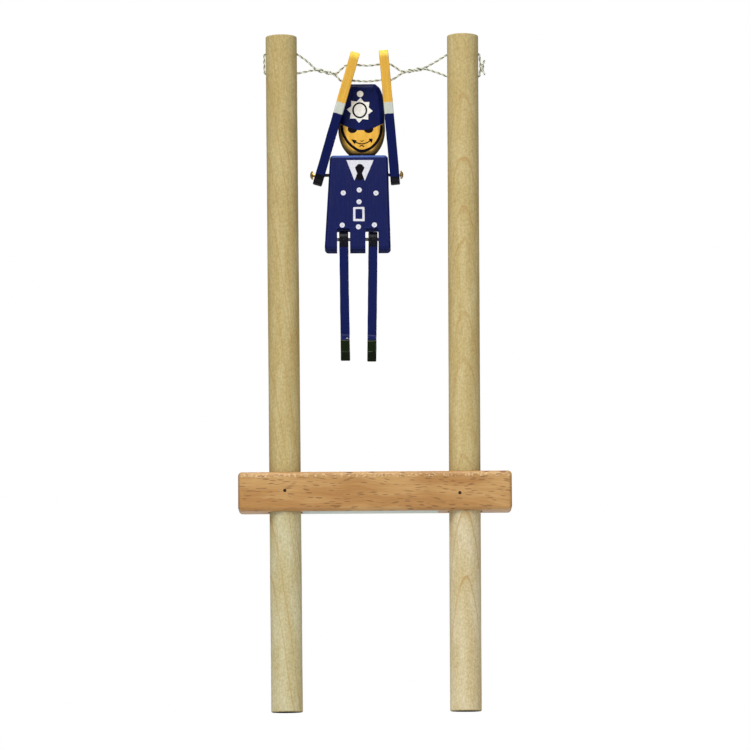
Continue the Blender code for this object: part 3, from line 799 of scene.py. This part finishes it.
def make_bar(wood, steel, label):
    """A square bar with soft edges, bored through for both sticks, with a nail sunk in it at each stick."""
    low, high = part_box("cross_bar")
    middle = (low + high) / 2
    place = placed(middle)
    size = (high - low) / MM
    shape = bmesh.new()
    bmesh.ops.create_cube(shape, size=1, matrix=Matrix.Diagonal((*size, 1)))
    bmesh.ops.bevel(
        shape,
        geom=shape.edges[:],
        offset=BAR_EDGE,
        offset_type="OFFSET",
        segments=8,
        profile=0.5,
        affect="EDGES",
    )
    for vert in shape.verts:
        vert.co += noise.noise_vector(vert.co / 9) * 0.06 - vert.co.normalized() * 0.05
    tools = []
    for side in SIDES:
        at = (on_stick(side, middle.z) - middle) / MM
        hole = rod(0.5, -12, 12, sides=72)
        hole.transform(Matrix.Translation((at.x, 0, 0)) @ Matrix.Diagonal((*BAR_HOLES, 1, 1)))
        tools.append(hole)
        nail_at = (JOINT[f"{side}_stick_rock"] - middle) / MM
        tools.append(rod(NAIL_BORE, -CUTTER_REACH, NAIL_DEEP, ALONG_Y, (nail_at.x, 0, nail_at.z)))
        nail_low, nail_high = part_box(f"pivot_nail_{side}")
        half = (nail_high.y - nail_low.y) / 2 / MM
        nail = rod((nail_high.x - nail_low.x) / 2 / MM, -half, half, ALONG_Y, ease=0.12)
        nail_place = placed((nail_low + nail_high) / 2)
        piece(f"pivot_nail_{side}_steel", nail, nail_place, "frame", steel, [f"pivot_nail_{side}"])
    piece("bar", carved(shape, *tools), place, "frame", wood, ["cross_bar"], 30)
    corners = ((-27.5, -5.2), (24.0, -5.2), (24.0, 5.2), (-27.5, 5.2))
    sticker = slab(filleted(corners, 1.2), 0.06, 0.03, steps=2)
    wavered(sticker, 0.02, 6)
    sticker.transform(Matrix.Translation((0, -0.4, -size.z / 2 - 0.04)))
    piece("plain_sticker", sticker, place, "frame", label)


def strip(outline, thick, edge, cuts, amount, seed):
    """A flat strip that stands edge on, cut into short lengths so that it can be made uneven."""
    shape = slab(outline, thick / 2, edge)
    shape.transform(EDGE_ON)
    long_edges = [line for line in shape.edges if line.calc_length() > 20]
    bmesh.ops.subdivide_edges(shape, edges=long_edges, cuts=cuts)
    return wavered(closed(shape), amount, 5, seed)


def arm_x(side, z):
    """Where an arm's middle line is at a height below the spin axis."""
    (tip_x, tip_z), (end_x, end_z) = ARMS[side]
    return tip_x + (end_x - tip_x) * (tip_z - z) / (tip_z - end_z)


def arm_axes(side):
    """An arm's own coordinates: 0 at its tip, Z along it and Y in its depth."""
    (tip_x, tip_z), (end_x, end_z) = ARMS[side]
    slant = math.atan2(tip_x - end_x, tip_z - end_z)
    place = Matrix.Translation((tip_x, 0, tip_z)) @ Matrix.Rotation(slant, 4, "Y")
    return place, math.hypot(tip_x - end_x, tip_z - end_z)


def make_arm(side, finish):
    """A painted strip with round ends, pierced for the two cords and the shoulder nail."""
    own, length = arm_axes(side)
    radius = ARM_DEPTH / 2
    outline = arc((0, -radius), (radius, radius), 0, 180, 24)
    outline += arc((0, radius - length), (radius, radius), 180, 360, 24)
    shape = strip(outline, ARM_THICK, 0.45, 24, 0.09, side == "left")
    upper, lower = HAND_HOLES[side]
    tools = []
    holes = ((upper, HAND_HOLE_RADIUS), (lower, HAND_HOLE_RADIUS), (-SHOULDER_DOWN, SHOULDER_HOLE_RADIUS))
    for height, hole_radius in holes:
        at = own.inverted() @ Vector((arm_x(side, height), 0, height))
        tools.append(rod(hole_radius, -ARM_THICK, ARM_THICK, ALONG_X, (0, 0, at.z)))
    shape = carved(shape, *tools)
    node = f"arm_{side}"
    piece(f"painted_{node}", shape, ARM_PLACE @ own, f"{side}_arm", finish, [node])


def make_torso(finish):
    """The painted board, slotted for the legs. Returns its surface for the prints."""
    shape = slab(filleted(TORSO, 1.5), TORSO_HALF, TORSO_EDGE, steps=7)
    shape.transform(FACING)
    wavered(shape, 0.05, 6, 3)
    tools = []
    for x in SLOTS_X:
        left = x - SLOT_WIDTH / 2
        right = x + SLOT_WIDTH / 2
        low = SLOT_TOP - 14
        corners = ((left, low), (right, low), (right, SLOT_TOP), (left, SLOT_TOP))
        slot = slab(filleted(corners, 0.35, 4), 8, 0.1, steps=1)
        slot.transform(FACING)
        tools.append(slot)
    tools.append(rod(*HIP_BORE, ALONG_X, (0, 0, HIP_DOWN)))
    tools.append(rod(PEG_HOLE_RADIUS, 2.3, 10, centre=(HEAD_X, 0, 0)))
    shape = carved(shape, *tools)
    surface = BVHTree.FromBMesh(shape)
    piece("painted_torso", shape, BODY_PLACE, "figure", finish, ["torso"])
    return surface


def head_outline():
    """A round chin that runs into a flat where it meets the torso, and a tapering helmet, anticlockwise."""
    turn = math.radians(CHIN_ARC)
    slope = math.atan2(CHIN_RADII[1] * math.cos(turn), CHIN_RADII[0] * math.sin(turn))
    blend = (CHIN_Z - CHIN_RADII[1] * math.sin(turn) - HEAD_BOTTOM) / (1 - math.cos(slope))
    flat = CHIN_RADII[0] * math.cos(turn) - blend * math.sin(slope)
    right = arc((flat, HEAD_BOTTOM + blend), (blend, blend), -90, math.degrees(slope) - 90, 8)
    right += arc((0, CHIN_Z), CHIN_RADII, -CHIN_ARC, 0, 20)[1:]
    helmet = [right[-1]] + [Vector(point) for point in HELMET_SIDE]
    right += smoothed(helmet, 4)[1:]
    return right + [Vector((-point.x, point.y)) for point in reversed(right)]


def make_head(finish):
    """One thick board with rounded edges. Returns its surface for the prints."""
    shape = slab(head_outline(), HEAD_HALF, HEAD_EDGE, HEAD_HALF * 0.97, 12)
    shape.transform(Matrix.Translation((HEAD_X, 0, 0)) @ FACING)
    wavered(shape, 0.05, 6, 5)
    shape = carved(shape, rod(PEG_HOLE_RADIUS, 4, 12.9, centre=(HEAD_X, 0, 0)))
    surface = BVHTree.FromBMesh(shape)
    piece("painted_head", shape, BODY_PLACE, "figure", finish, ["head"], 50)
    return surface


def make_peg(finish):
    """A short grooved dowel between head and torso."""
    low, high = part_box("neck_peg")
    radius = (high.x - low.x) / 2 / MM
    shape = rod(radius, 2.6, 12.6, ease=0.25, sides=36)
    for vert in shape.verts:
        groove = 1 - 0.03 * (1 + math.cos(12 * math.atan2(vert.co.y, vert.co.x)))
        vert.co.x *= groove
        vert.co.y *= groove
    shape.transform(Matrix.Translation((HEAD_X, 0, 0)))
    piece("grooved_peg", shape, BODY_PLACE, "figure", finish, ["neck_peg"])


def make_shoulder_nail(side, finish):
    """A domed brass nail: its head rests by the arm's outer face and its shank runs into the torso.

    Its spot coordinates start at the dome's top and run down the shank in Z.
    """
    nail = f"shoulder_nail_{side}"
    sign = -SIDES[side]
    reach = [sign * (BODY_PLACE.inverted() @ vert.co).x for vert in frame["nodes"][nail].data.vertices]
    outer = min(reach)
    length = max(reach) - outer
    dome = arc((0, 1.1), (NAIL_RADIUS, 1.1), 270, 352, 12)
    profile = [(max(0.0, point.x), point.y) for point in dome]
    profile += [(NAIL_RADIUS, 1.02), (NAIL_RADIUS - 0.12, NAIL_HEAD), (0.75, NAIL_HEAD)]
    profile += [(0.62, 1.35), (0.62, length - 1.3), (0.0, length)]
    shape = turned(profile, 48)
    spot = shape.verts.layers.float_vector.new("spot")
    for vert in shape.verts:
        vert[spot] = vert.co
    shape.transform(Matrix.Diagonal((sign, 1, 1, 1)) @ ALONG_X @ Matrix.Translation((0, 0, outer)))
    piece(f"brass_{nail}", closed(shape), BODY_PLACE, "figure", finish, [nail])


def make_hip_pin(finish):
    """A wire as long as its CAD node, across both leg slots."""
    points = [BODY_PLACE.inverted() @ vert.co for vert in frame["nodes"]["hip_pin"].data.vertices]
    low = min(point.x for point in points)
    high = max(point.x for point in points)
    pin = rod(HIP_PIN_RADIUS, low, high, ALONG_X, (0, 0, HIP_DOWN), 0.15)
    piece("steel_hip_pin", pin, BODY_PLACE, "figure", finish, ["hip_pin"])


def make_leg(side, finish):
    """A painted strip with a round top, ending in a boot whose toe points forward."""
    x, tilt, lift = LEGS[side]
    radius = LEG_HALF_DEPTH
    outline = arc((0, 0), (radius, radius), 0, 180, 24) + [Vector(point) for point in BOOT]
    top = len(outline) - len(BOOT)
    rounded = outline[:top]
    for i in range(top, len(outline)):
        here = outline[i]
        back = (outline[i - 1] - here).normalized() * 0.5
        ahead = (outline[(i + 1) % len(outline)] - here).normalized() * 0.5
        for t in (0, 0.25, 0.5, 0.75, 1):
            rounded.append(here + back * (1 - t) ** 2 + ahead * t**2)
    shape = strip(rounded, LEG_THICK, 0.35, 20, 0.08, 9 + x)
    shape.transform(Matrix.Translation((0, 0, lift)))
    shape = carved(shape, rod(LEG_HOLE_RADIUS, -LEG_THICK, LEG_THICK, ALONG_X))
    own = Matrix.Translation((x, 0, 0)) @ Matrix.Rotation(math.radians(tilt), 4, "Y")
    node = f"leg_{side}"
    piece(f"painted_{node}", shape, HIP_PLACE @ own, f"{side}_leg", finish, [node])


# --- Prints -------------------------------------------------------------------------------------


def brim_z(x):
    """The height of the helmet's lower edge."""
    return BRIM[1] + BRIM[2] * (x - BRIM[0]) ** 2


def front_of(wood, x, z):
    """The point on the wood's front at a place, and the direction away from the wood there."""
    return wood.ray_cast(Vector((x, -20, z)), Vector((0, 1, 0)))[:2]


def raised(shape, wood, outline, hole=None, lift=PROUD):
    """A patch of paint that follows the wood's front, with an optional hole of as many points."""

    def ring(points, off):
        found = []
        for x, z in points:
            found.append(shape.verts.new((x, front_of(wood, x, z)[0].y - off, z)))
        return found

    top = ring(outline, lift)
    under = ring(outline, -SUNK)
    joined(shape, top, under)
    if hole is None:
        for corners in tessellate_polygon([[Vector((x, z, 0)) for x, z in outline]]):
            shape.faces.new([top[k] for k in corners])
            shape.faces.new([under[k] for k in corners])
        return
    inner_top = ring(hole, lift)
    inner_under = ring(hole, -SUNK)
    joined(shape, inner_top, inner_under)
    joined(shape, top, inner_top)
    joined(shape, under, inner_under)


def ribbon(wood, points, width, columns=4):
    """A long band of paint that bends with the wood's rounded rim."""
    shape = bmesh.new()
    line = evened(points, 0.3)
    sections = []
    for i, point in enumerate(line):
        along = heading(line, i)
        across = Vector((-along.y, along.x)) * width
        top = []
        under = []
        for k in range(columns + 1):
            at = point + across * (k / columns - 0.5)
            hit, away = front_of(wood, at.x, at.y)
            top.append(shape.verts.new(hit + away * PROUD))
            under.append(shape.verts.new(hit - away * SUNK))
        sections.append(top + under[::-1])
    for first, second in zip(sections, sections[1:]):
        joined(shape, first, second)
    for section in (sections[0], sections[-1]):
        shape.faces.new(section)
    return closed(shape)


def stroke(points, width):
    """The outline of a brush line, with its ends narrowed."""
    one = []
    other = []
    for i, point in enumerate(points):
        along = heading(points, i)
        across = Vector((-along.y, along.x)) * width / 2
        across *= 0.6 if i in (0, len(points) - 1) else 1
        one.append(point + across)
        other.append(point - across)
    return one + other[::-1]


def line_through(*points):
    """A smooth curve through places given as (x, z)."""
    return smoothed([Vector(point) for point in points], 6)


def oval(x, z, wide, high, steps):
    return arc((x, z), (wide, high), 0, 360, steps)[:-1]


def disc(x, z, radius, steps=28):
    return oval(x, z, radius, radius, steps)


def star(x, z, outer, inner, points, first):
    """A star's outline, with the angle of its first point in degrees."""
    found = []
    for k in range(2 * points):
        angle = math.radians(first + 180 * k / points)
        reach = inner if k % 2 else outer
        found.append(Vector((x + reach * math.cos(angle), z + reach * math.sin(angle))))
    return found


def printed(name, wood, finish, slot, *marks):
    """One piece for marks of a colour. A mark is an outline, or an outline, its hole and its lift."""
    shape = bmesh.new()
    for mark in marks:
        if isinstance(mark, tuple):
            raised(shape, wood, *mark)
        else:
            raised(shape, wood, mark)
    piece(name, closed(shape), BODY_PLACE, "figure", finish, smooth=30)


def print_torso(wood, white, grey, black):
    """Shirt, tie, seven buttons and a belt buckle."""
    shirt = [(-10.1, 5.05), (-7.05, -3.07), (-5.99, -0.18), (-6.85, 2.1), (-5.75, 3.38), (-5.03, 3.52)]
    shirt += [(-4.27, 3.38), (-3.15, 2.1), (-4.13, -0.18), (-3.1, -3.1), (0.34, 5.0)]
    printed("shirt_print", wood, white, "painted_wood", [Vector(point) for point in shirt])
    tie = [(-5.03, 3.5), (-5.75, 3.36), (-6.83, 2.1), (-5.97, -0.18), (-6.7, -2.2)]
    tie += [(-5.1, -3.0), (-3.45, -2.2), (-4.15, -0.18), (-3.17, 2.1), (-4.27, 3.36)]
    tie_mark = (inset([Vector(point) for point in tie], 0.02), None, PROUD_OVER)
    printed("tie_print", wood, black, "painted_wood", tie_mark)
    places = [(-11.39, -7.87), (-5.24, -6.75), (1.15, -8.01), (-5.35, -11.41)]
    places += [(-11.86, -20.55), (-5.67, -21.25), (0.49, -20.55)]
    buttons = [disc(x, z, 0.98) for x, z in places]
    middles = [(disc(x, z, 0.22, 12), None, 0.06) for x, z in places]
    outer = filleted([(-7.62, -13.5), (-7.66, -19.0), (-3.25, -19.1), (-3.32, -13.45)], 0.3, 5)
    inner = filleted([(-6.78, -14.25), (-6.80, -18.15), (-4.10, -18.15), (-4.14, -14.25)], 0.15, 5)
    printed("button_prints", wood, white, "painted_wood", *buttons)
    printed("buckle_print", wood, white, "painted_wood", (outer, inner))
    printed("button_middles", wood, grey, "painted_wood", *middles)


def print_head(wood, white, black):
    """A plain star badge with a ring and a dot above it, eyes, nose, mouth, chin and strap."""
    badge = (-4.88, 24.82)
    outline = star(*badge, 5.0, 3.65, 8, 86)
    printed("badge_star_print", wood, white, "painted_face", outline, disc(-4.7, 31.3, 1.25))
    ring = (oval(*badge, 2.88, 3.17, 40), oval(*badge, 2.26, 2.53, 40), PROUD_OVER)
    printed("badge_ring_print", wood, black, "painted_face", ring)
    eyes = []
    for x, z in ((-7.75, 17.35), (-1.52, 17.3)):
        eyes.append([Vector((p.x, min(p.y, brim_z(p.x) + 0.12))) for p in oval(x, z, 1.8, 1.5, 40)])
    printed("eye_prints", wood, black, "painted_face", *eyes)
    mouth = line_through((-7.7, 12.8), (-6.3, 12.05), (-4.15, 11.5), (-2.05, 12.05), (-0.6, 13.1))
    printed("mouth_print", wood, black, "painted_face", stroke(mouth, 0.42))
    left_corner = [(-8.34, 13.43), (-6.95, 11.46), (-6.01, 12.82)]
    right_corner = [(-1.57, 13.62), (-0.42, 11.7), (0.06, 13.5)]
    corners = [(filleted(points, 0.12, 3), None, 0.06) for points in (left_corner, right_corner)]
    printed("cheek_prints", wood, black, "painted_face", *corners)
    nose = stroke(line_through((-4.65, 12.85), (-4.15, 12.5), (-3.3, 12.95)), 0.24)
    chin = stroke(line_through((-5.05, 10.5), (-4.2, 10.85), (-3.25, 10.48)), 0.36)
    printed("nose_and_chin_prints", wood, black, "painted_face", nose, chin)
    strap = [(-11.85, 19.0), (-11.72, 17.6), (-11.25, 15.61), (-9.98, 12.97), (-8.12, 10.79)]
    strap += [(-5.8, 9.15), (-4.3, 8.78), (-2.54, 9.05), (-0.2, 10.26)]
    strap += [(1.69, 12.4), (2.87, 14.79), (3.35, 17.19), (3.45, 19.0)]
    band = ribbon(wood, line_through(*strap), 0.98)
    piece("strap_print", band, BODY_PLACE, "figure", black, smooth=60)


# --- Cord ---------------------------------------------------------------------------------------


def stick_x(side, z):
    """A stick's axis at a height, in millimetres."""
    return on_stick(side, z * MM).x / MM


def hand_hole(side, k):
    """The middle of a hand's hole, from the plane of the sticks."""
    height = HAND_HOLES[side][k]
    at = ARM_PLACE @ Vector((arm_x(side, height), 0, height))
    return (at - Vector((0, PLANE_Y, 0))) / MM


def twist(start, stop, phase):
    """One strand of the twisted pair, half a turn at a time round the line from start to stop."""
    along = (stop - start).normalized()
    across = Vector((0, 1, 0))
    up = across.cross(along)
    if up.z < 0:
        up = -up
    steps = 8 * TWIST_HALF_TURNS
    found = []
    for i in range(steps + 1):
        angle = phase + math.pi * TWIST_HALF_TURNS * i / steps
        ring = TWIST_RADIUS * (math.cos(angle) * up + math.sin(angle) * across)
        found.append(start.lerp(stop, i / steps) + ring)
    return found


def side_strand(side, hole, hand, phase):
    """A strand from inside a stick's hole, through the twist, to the middle of a hand."""
    sign = SIDES[side]
    height = CORD_HOLES[side][hole]
    inner = abs(stick_x(side, height)) - STICK_RADIUS
    first, last = (Vector((x, 0, z)) for x, z in TWISTS[side])
    run = [Vector((sign * (inner + d), 0, height)) for d in (3, 0.4)]
    run.append(Vector((sign * (inner - 3.6), 0, height * 0.55 + first.z * 0.45)))
    run += twist(first, last, phase)
    at = hand_hole(side, hand)
    run.append(Vector((at.x + sign * 2.7, at.y * 0.9, at.z * 0.9 + last.z * 0.1)))
    run += [at + Vector((sign * d, 0, 0)) for d in (1.2, 0)]
    return run


def outer_turn(side, z, towards):
    """The cord where it leaves a stick's hole on the outside and turns along the stick."""
    sign = SIDES[side]
    face = abs(stick_x(side, z)) + STICK_RADIUS
    step = 1 if towards > z else -1
    ways = ((-3, 0), (-0.2, 0), (0.25, 0.12), (0.5, 0.5), (0.56, 1.3))
    return [Vector((sign * (face + out), 0, z + step * up)) for out, up in ways]


def twine(points, phase=0.0, shape=None):
    """Two plies wound round a line."""
    line = evened(smoothed(points, 6), PLY_SPACING)
    shape = shape or bmesh.new()
    for ply in (0, 1):
        path = []
        for point, run, across, other in carried(line):
            angle = phase + 2 * math.pi * run / PLY_PITCH + math.pi * ply
            reach = PLY_OFFSET * (1 + 0.12 * noise.noise(point * 0.9))
            path.append(point + (math.cos(angle) * across + math.sin(angle) * other) * reach)
        sizes = [PLY_RADIUS * (1 + 0.1 * noise.noise(p * 1.7 + Vector((ply, 0, 0)))) for p in path]
        add_tube(shape, path, sizes, 12, line)
    return shape


def add_fuzz(shape, points, count, seed):
    """Loose fibres that stand off the twine."""
    draw = random.Random(seed)
    line = evened(smoothed(points, 4), 0.5)
    for _ in range(count):
        root = line[draw.randrange(1, len(line) - 1)]
        out = Vector((draw.uniform(-1, 1), draw.uniform(-1, 1), draw.uniform(-1, 1))).normalized()
        curl = Vector((draw.uniform(-1, 1), draw.uniform(-1, 1), draw.uniform(-1, 1))) * 0.35
        reach = draw.uniform(0.5, 1.0)
        hair = [root + out * reach * t + curl * t * t for t in (0.25, 0.5, 0.75, 1.0)]
        add_tube(shape, hair, [FUZZ_RADIUS * (1 - i * 0.2) for i in range(4)], 5)


def knot_line():
    """A tight overhand knot: a trefoil, scaled to the knot's size."""
    found = []
    for i in range(61):
        t = 2 * math.pi * i / 60
        x = 0.30 * (math.sin(t) + 2 * math.sin(2 * t))
        z = 0.42 * (math.cos(t) - 2 * math.cos(2 * t))
        found.append(KNOT_AT + Vector((0.62 * x - 0.05, 0.5 * math.sin(3 * t), z)))
    return found


def cord_piece(name, shape, body, finish):
    """A stretch of the twine on a body; given two bodies and its ends, it is left unattached where it lies.
    """
    piece(name, closed(shape), STICK_PLANE, body, finish, ["cord_loop"])


def make_cord(finish):
    """The loop in stretches, each on the body that it moves with, or left unattached where it runs between
    two bodies.
    """
    number = 0
    for side in SIDES:
        gate = Vector((TWISTS[side][0][0], 0, TWISTS[side][0][1]))
        hand = Vector((TWISTS[side][1][0], 0, TWISTS[side][1][1]))
        for strand, (hole, hold, phase) in enumerate(((0, 1, 0.0), (1, 0, math.pi))):
            run = side_strand(side, hole, hold, phase)
            fan = run[:4]
            lead = run[3:]
            start = Vector(run[1])
            for part, points, bodies, ends in (
                ("fan", fan, (f"{side}_stick", "frame"), (start, gate)),
                ("twist", lead, ("frame", "left_arm"), (gate, hand)),
            ):
                shape = twine(points, number)
                add_fuzz(shape, points, 5, number)
                where = [STICK_PLANE @ Vector(point) for point in ends]
                cord_piece(f"cord_{part}_{side}_{strand}", shape, (*bodies, *where), finish)
                number += 1
    for strand in (0, 1):
        left = hand_hole("left", strand)
        right = hand_hole("right", strand)
        sag = Vector((0, 0, -0.35))
        points = [left, left.lerp(right, 0.15), left.lerp(right, 0.5) + sag, left.lerp(right, 0.85), right]
        shape = twine(points, strand)
        add_fuzz(shape, points, 6, 20 + strand)
        cord_piece(f"cord_between_hands_{strand}", shape, "left_arm", finish)
    upper, lower = CORD_HOLES["left"]
    wrap = outer_turn("left", upper, lower) + outer_turn("left", lower, upper)[::-1]
    cord_piece("cord_wrap_left", twine(wrap), "left_stick", finish)
    for k, height in enumerate(CORD_HOLES["right"]):
        into_knot = KNOT_AT + Vector((-0.5, 0, 0.9 if k == 0 else -0.9))
        wrap = outer_turn("right", height, KNOT_AT.z) + [into_knot]
        cord_piece(f"cord_wrap_right_{k}", twine(wrap), "right_stick", finish)
    knot = twine(knot_line())
    for ends in TAILS:
        tail = [KNOT_AT + Vector(end) for end in ends]
        add_fuzz(knot, tail, 8, 40)
        twine(tail, shape=knot)
    cord_piece("cord_knot", knot, "right_stick", finish)


# --- Stage --------------------------------------------------------------------------------------


def make_camera():
    """A long lens below the bar's level that looks up a little."""
    camera = in_scene("camera", bpy.data.cameras.new("camera"))
    look_up = Matrix.Rotation(math.radians(CAMERA_TILT), 4, "X")
    roll = Matrix.Rotation(math.radians(CAMERA_ROLL), 4, "Z")
    camera.matrix_world = Matrix.Translation(CAMERA_AT) @ look_up @ roll
    camera.data.lens = CAMERA_LENS
    camera.data.sensor_width = 36
    camera.data.clip_end = 50
    bpy.context.scene.camera = camera


def soft_light(name, location, size, power):
    """A square light that faces the object."""
    light = bpy.data.lights.new(name, "AREA")
    light.size = size
    light.energy = power
    made = in_scene(name, light)
    made.location = location
    aim = LIGHTS_AIM - Vector(location)
    made.rotation_euler = aim.to_track_quat("-Z", "Y").to_euler()


def make_stage():
    """A pale floor that fades out round the object.

    It shows from above only, since the camera looks up from under its level.
    """
    shape = bmesh.new()
    bmesh.ops.create_grid(shape, x_segments=2, y_segments=2, size=3)
    floor = as_object("floor", shape)
    finish = Finish("pale_floor", 0.8)
    finish.feed(finish.shader.inputs["Base Color"], (0.82, 0.82, 0.82))
    seen = finish.node("NewGeometry").outputs
    away = finish.node("VectorMath", seen["Position"], operation="LENGTH").outputs["Value"]
    share = finish.calc("MAXIMUM", finish.ease(away, *FLOOR_FADE), seen["Backfacing"])
    clear = finish.node("BsdfTransparent").outputs[0]
    surface = finish.node("MixShader", share, finish.shader.outputs[0], clear).outputs[0]
    finish.tree.links.new(surface, finish.tree.nodes["Material Output"].inputs["Surface"])
    floor.data.materials.append(finish.material)


def make_world():
    """White behind the object, and a dimmer white all round it for the light."""
    world = bpy.data.worlds.new("studio")
    world.use_nodes = True
    tree = world.node_tree
    behind = tree.nodes["Background"]
    behind.inputs["Color"].default_value = (1, 1, 1, 1)
    around = tree.nodes.new("ShaderNodeBackground")
    around.inputs["Color"].default_value = (0.97, 0.985, 1, 1)
    around.inputs["Strength"].default_value = 0.175
    path = tree.nodes.new("ShaderNodeLightPath")
    choose = tree.nodes.new("ShaderNodeMixShader")
    tree.links.new(path.outputs["Is Camera Ray"], choose.inputs[0])
    tree.links.new(around.outputs[0], choose.inputs[1])
    tree.links.new(behind.outputs[0], choose.inputs[2])
    tree.links.new(choose.outputs[0], tree.nodes["World Output"].inputs["Surface"])
    bpy.context.scene.world = world


make_camera()
make_world()
make_stage()
soft_light("key", (-0.42, -1.0, 1.15), 0.9, 18.4)
soft_light("fill", (0.55, -1.35, 0.55), 0.8, 3.0)
soft_light("top", (0.1, -0.25, 1.5), 0.7, 6.8)
soft_light("back", (0.2, 1.4, 0.8), 1.0, 9)
bpy.context.scene.view_settings.view_transform = "Standard"

left_turn = math.radians(75)
left_birch = birch("birch_left", left_turn, ARCHES["left"], (0.573, 0.471, 0.235), (0.62, 0.571, 0.372))
right_birch = birch("birch_right", 0.0, ARCHES["right"], (0.618, 0.506, 0.259), (0.703, 0.616, 0.416))
steel_wire = metal("steel_wire", (0.36, 0.35, 0.33), (0.16, 0.14, 0.12), 0.35, (0.4, 6.0, 6.0))
dark_steel = metal("dark_steel", (0.07, 0.062, 0.055), (0.03, 0.026, 0.022), 0.42, (6.0, 6.0, 0.4))
brass_nail = metal("brass_nail", (0.74, 0.50, 0.14), (0.42, 0.26, 0.07), 0.28, (5.0, 5.0, 0.4), NAIL_BRASS_LENGTH)
arm_bands = ((-20.2, CUFFS), (-24.6, NAVY), (-49.0, BLACK))
arm_finish = paint("arm_paint", HANDS, arm_bands, tip=HAND_TIP_HIGHLIGHT)
leg_bands = ((-3.4, NAVY), (-39.6, BOOTS))
left_pale_spot = (0.75, -5.3, -39.2)
leg_finishes = {
    "left": paint("left_leg_paint", BLACK, leg_bands, worn_axis=-0.4, pale_spot=left_pale_spot, sole=-44.3),
    "right": paint("right_leg_paint", BLACK, leg_bands, worn_axis=-0.4, sole=-44.3),
}
torso_finish = paint("torso_paint", NAVY, (), dry=-30.1, highlight_above=5.95)
# One white ink in two copies: the badge's copy is lighter and warmer, painted light against the shade on the
# head, and the shirt's copy is darker.
white_ink = print_ink("white_print", (0.71, 0.705, 0.755), (0.61, 0.61, 0.67))
lit_badge_ink = print_ink("lit_badge_print", (0.88, 0.86, 0.80), (0.78, 0.75, 0.69))
grey_ink = print_ink("grey_print", (0.36, 0.36, 0.41), (0.28, 0.28, 0.33))
black_ink = print_ink("black_print", (0.003, 0.0022, 0.005), (0.007, 0.005, 0.009), 0.05)

make_bar(beech(), dark_steel, paper())
make_stick("left", left_birch)
make_stick("right", right_birch)
for wing in SIDES:
    make_arm(wing, arm_finish)
    make_shoulder_nail(wing, brass_nail)
    make_leg(wing, leg_finishes[wing])
torso_wood = make_torso(torso_finish)
head_wood = make_head(head_paint())
make_peg(left_birch)
make_hip_pin(steel_wire)
print_torso(torso_wood, white_ink, grey_ink, black_ink)
print_head(head_wood, lit_badge_ink, black_ink)
make_cord(twine_cotton())
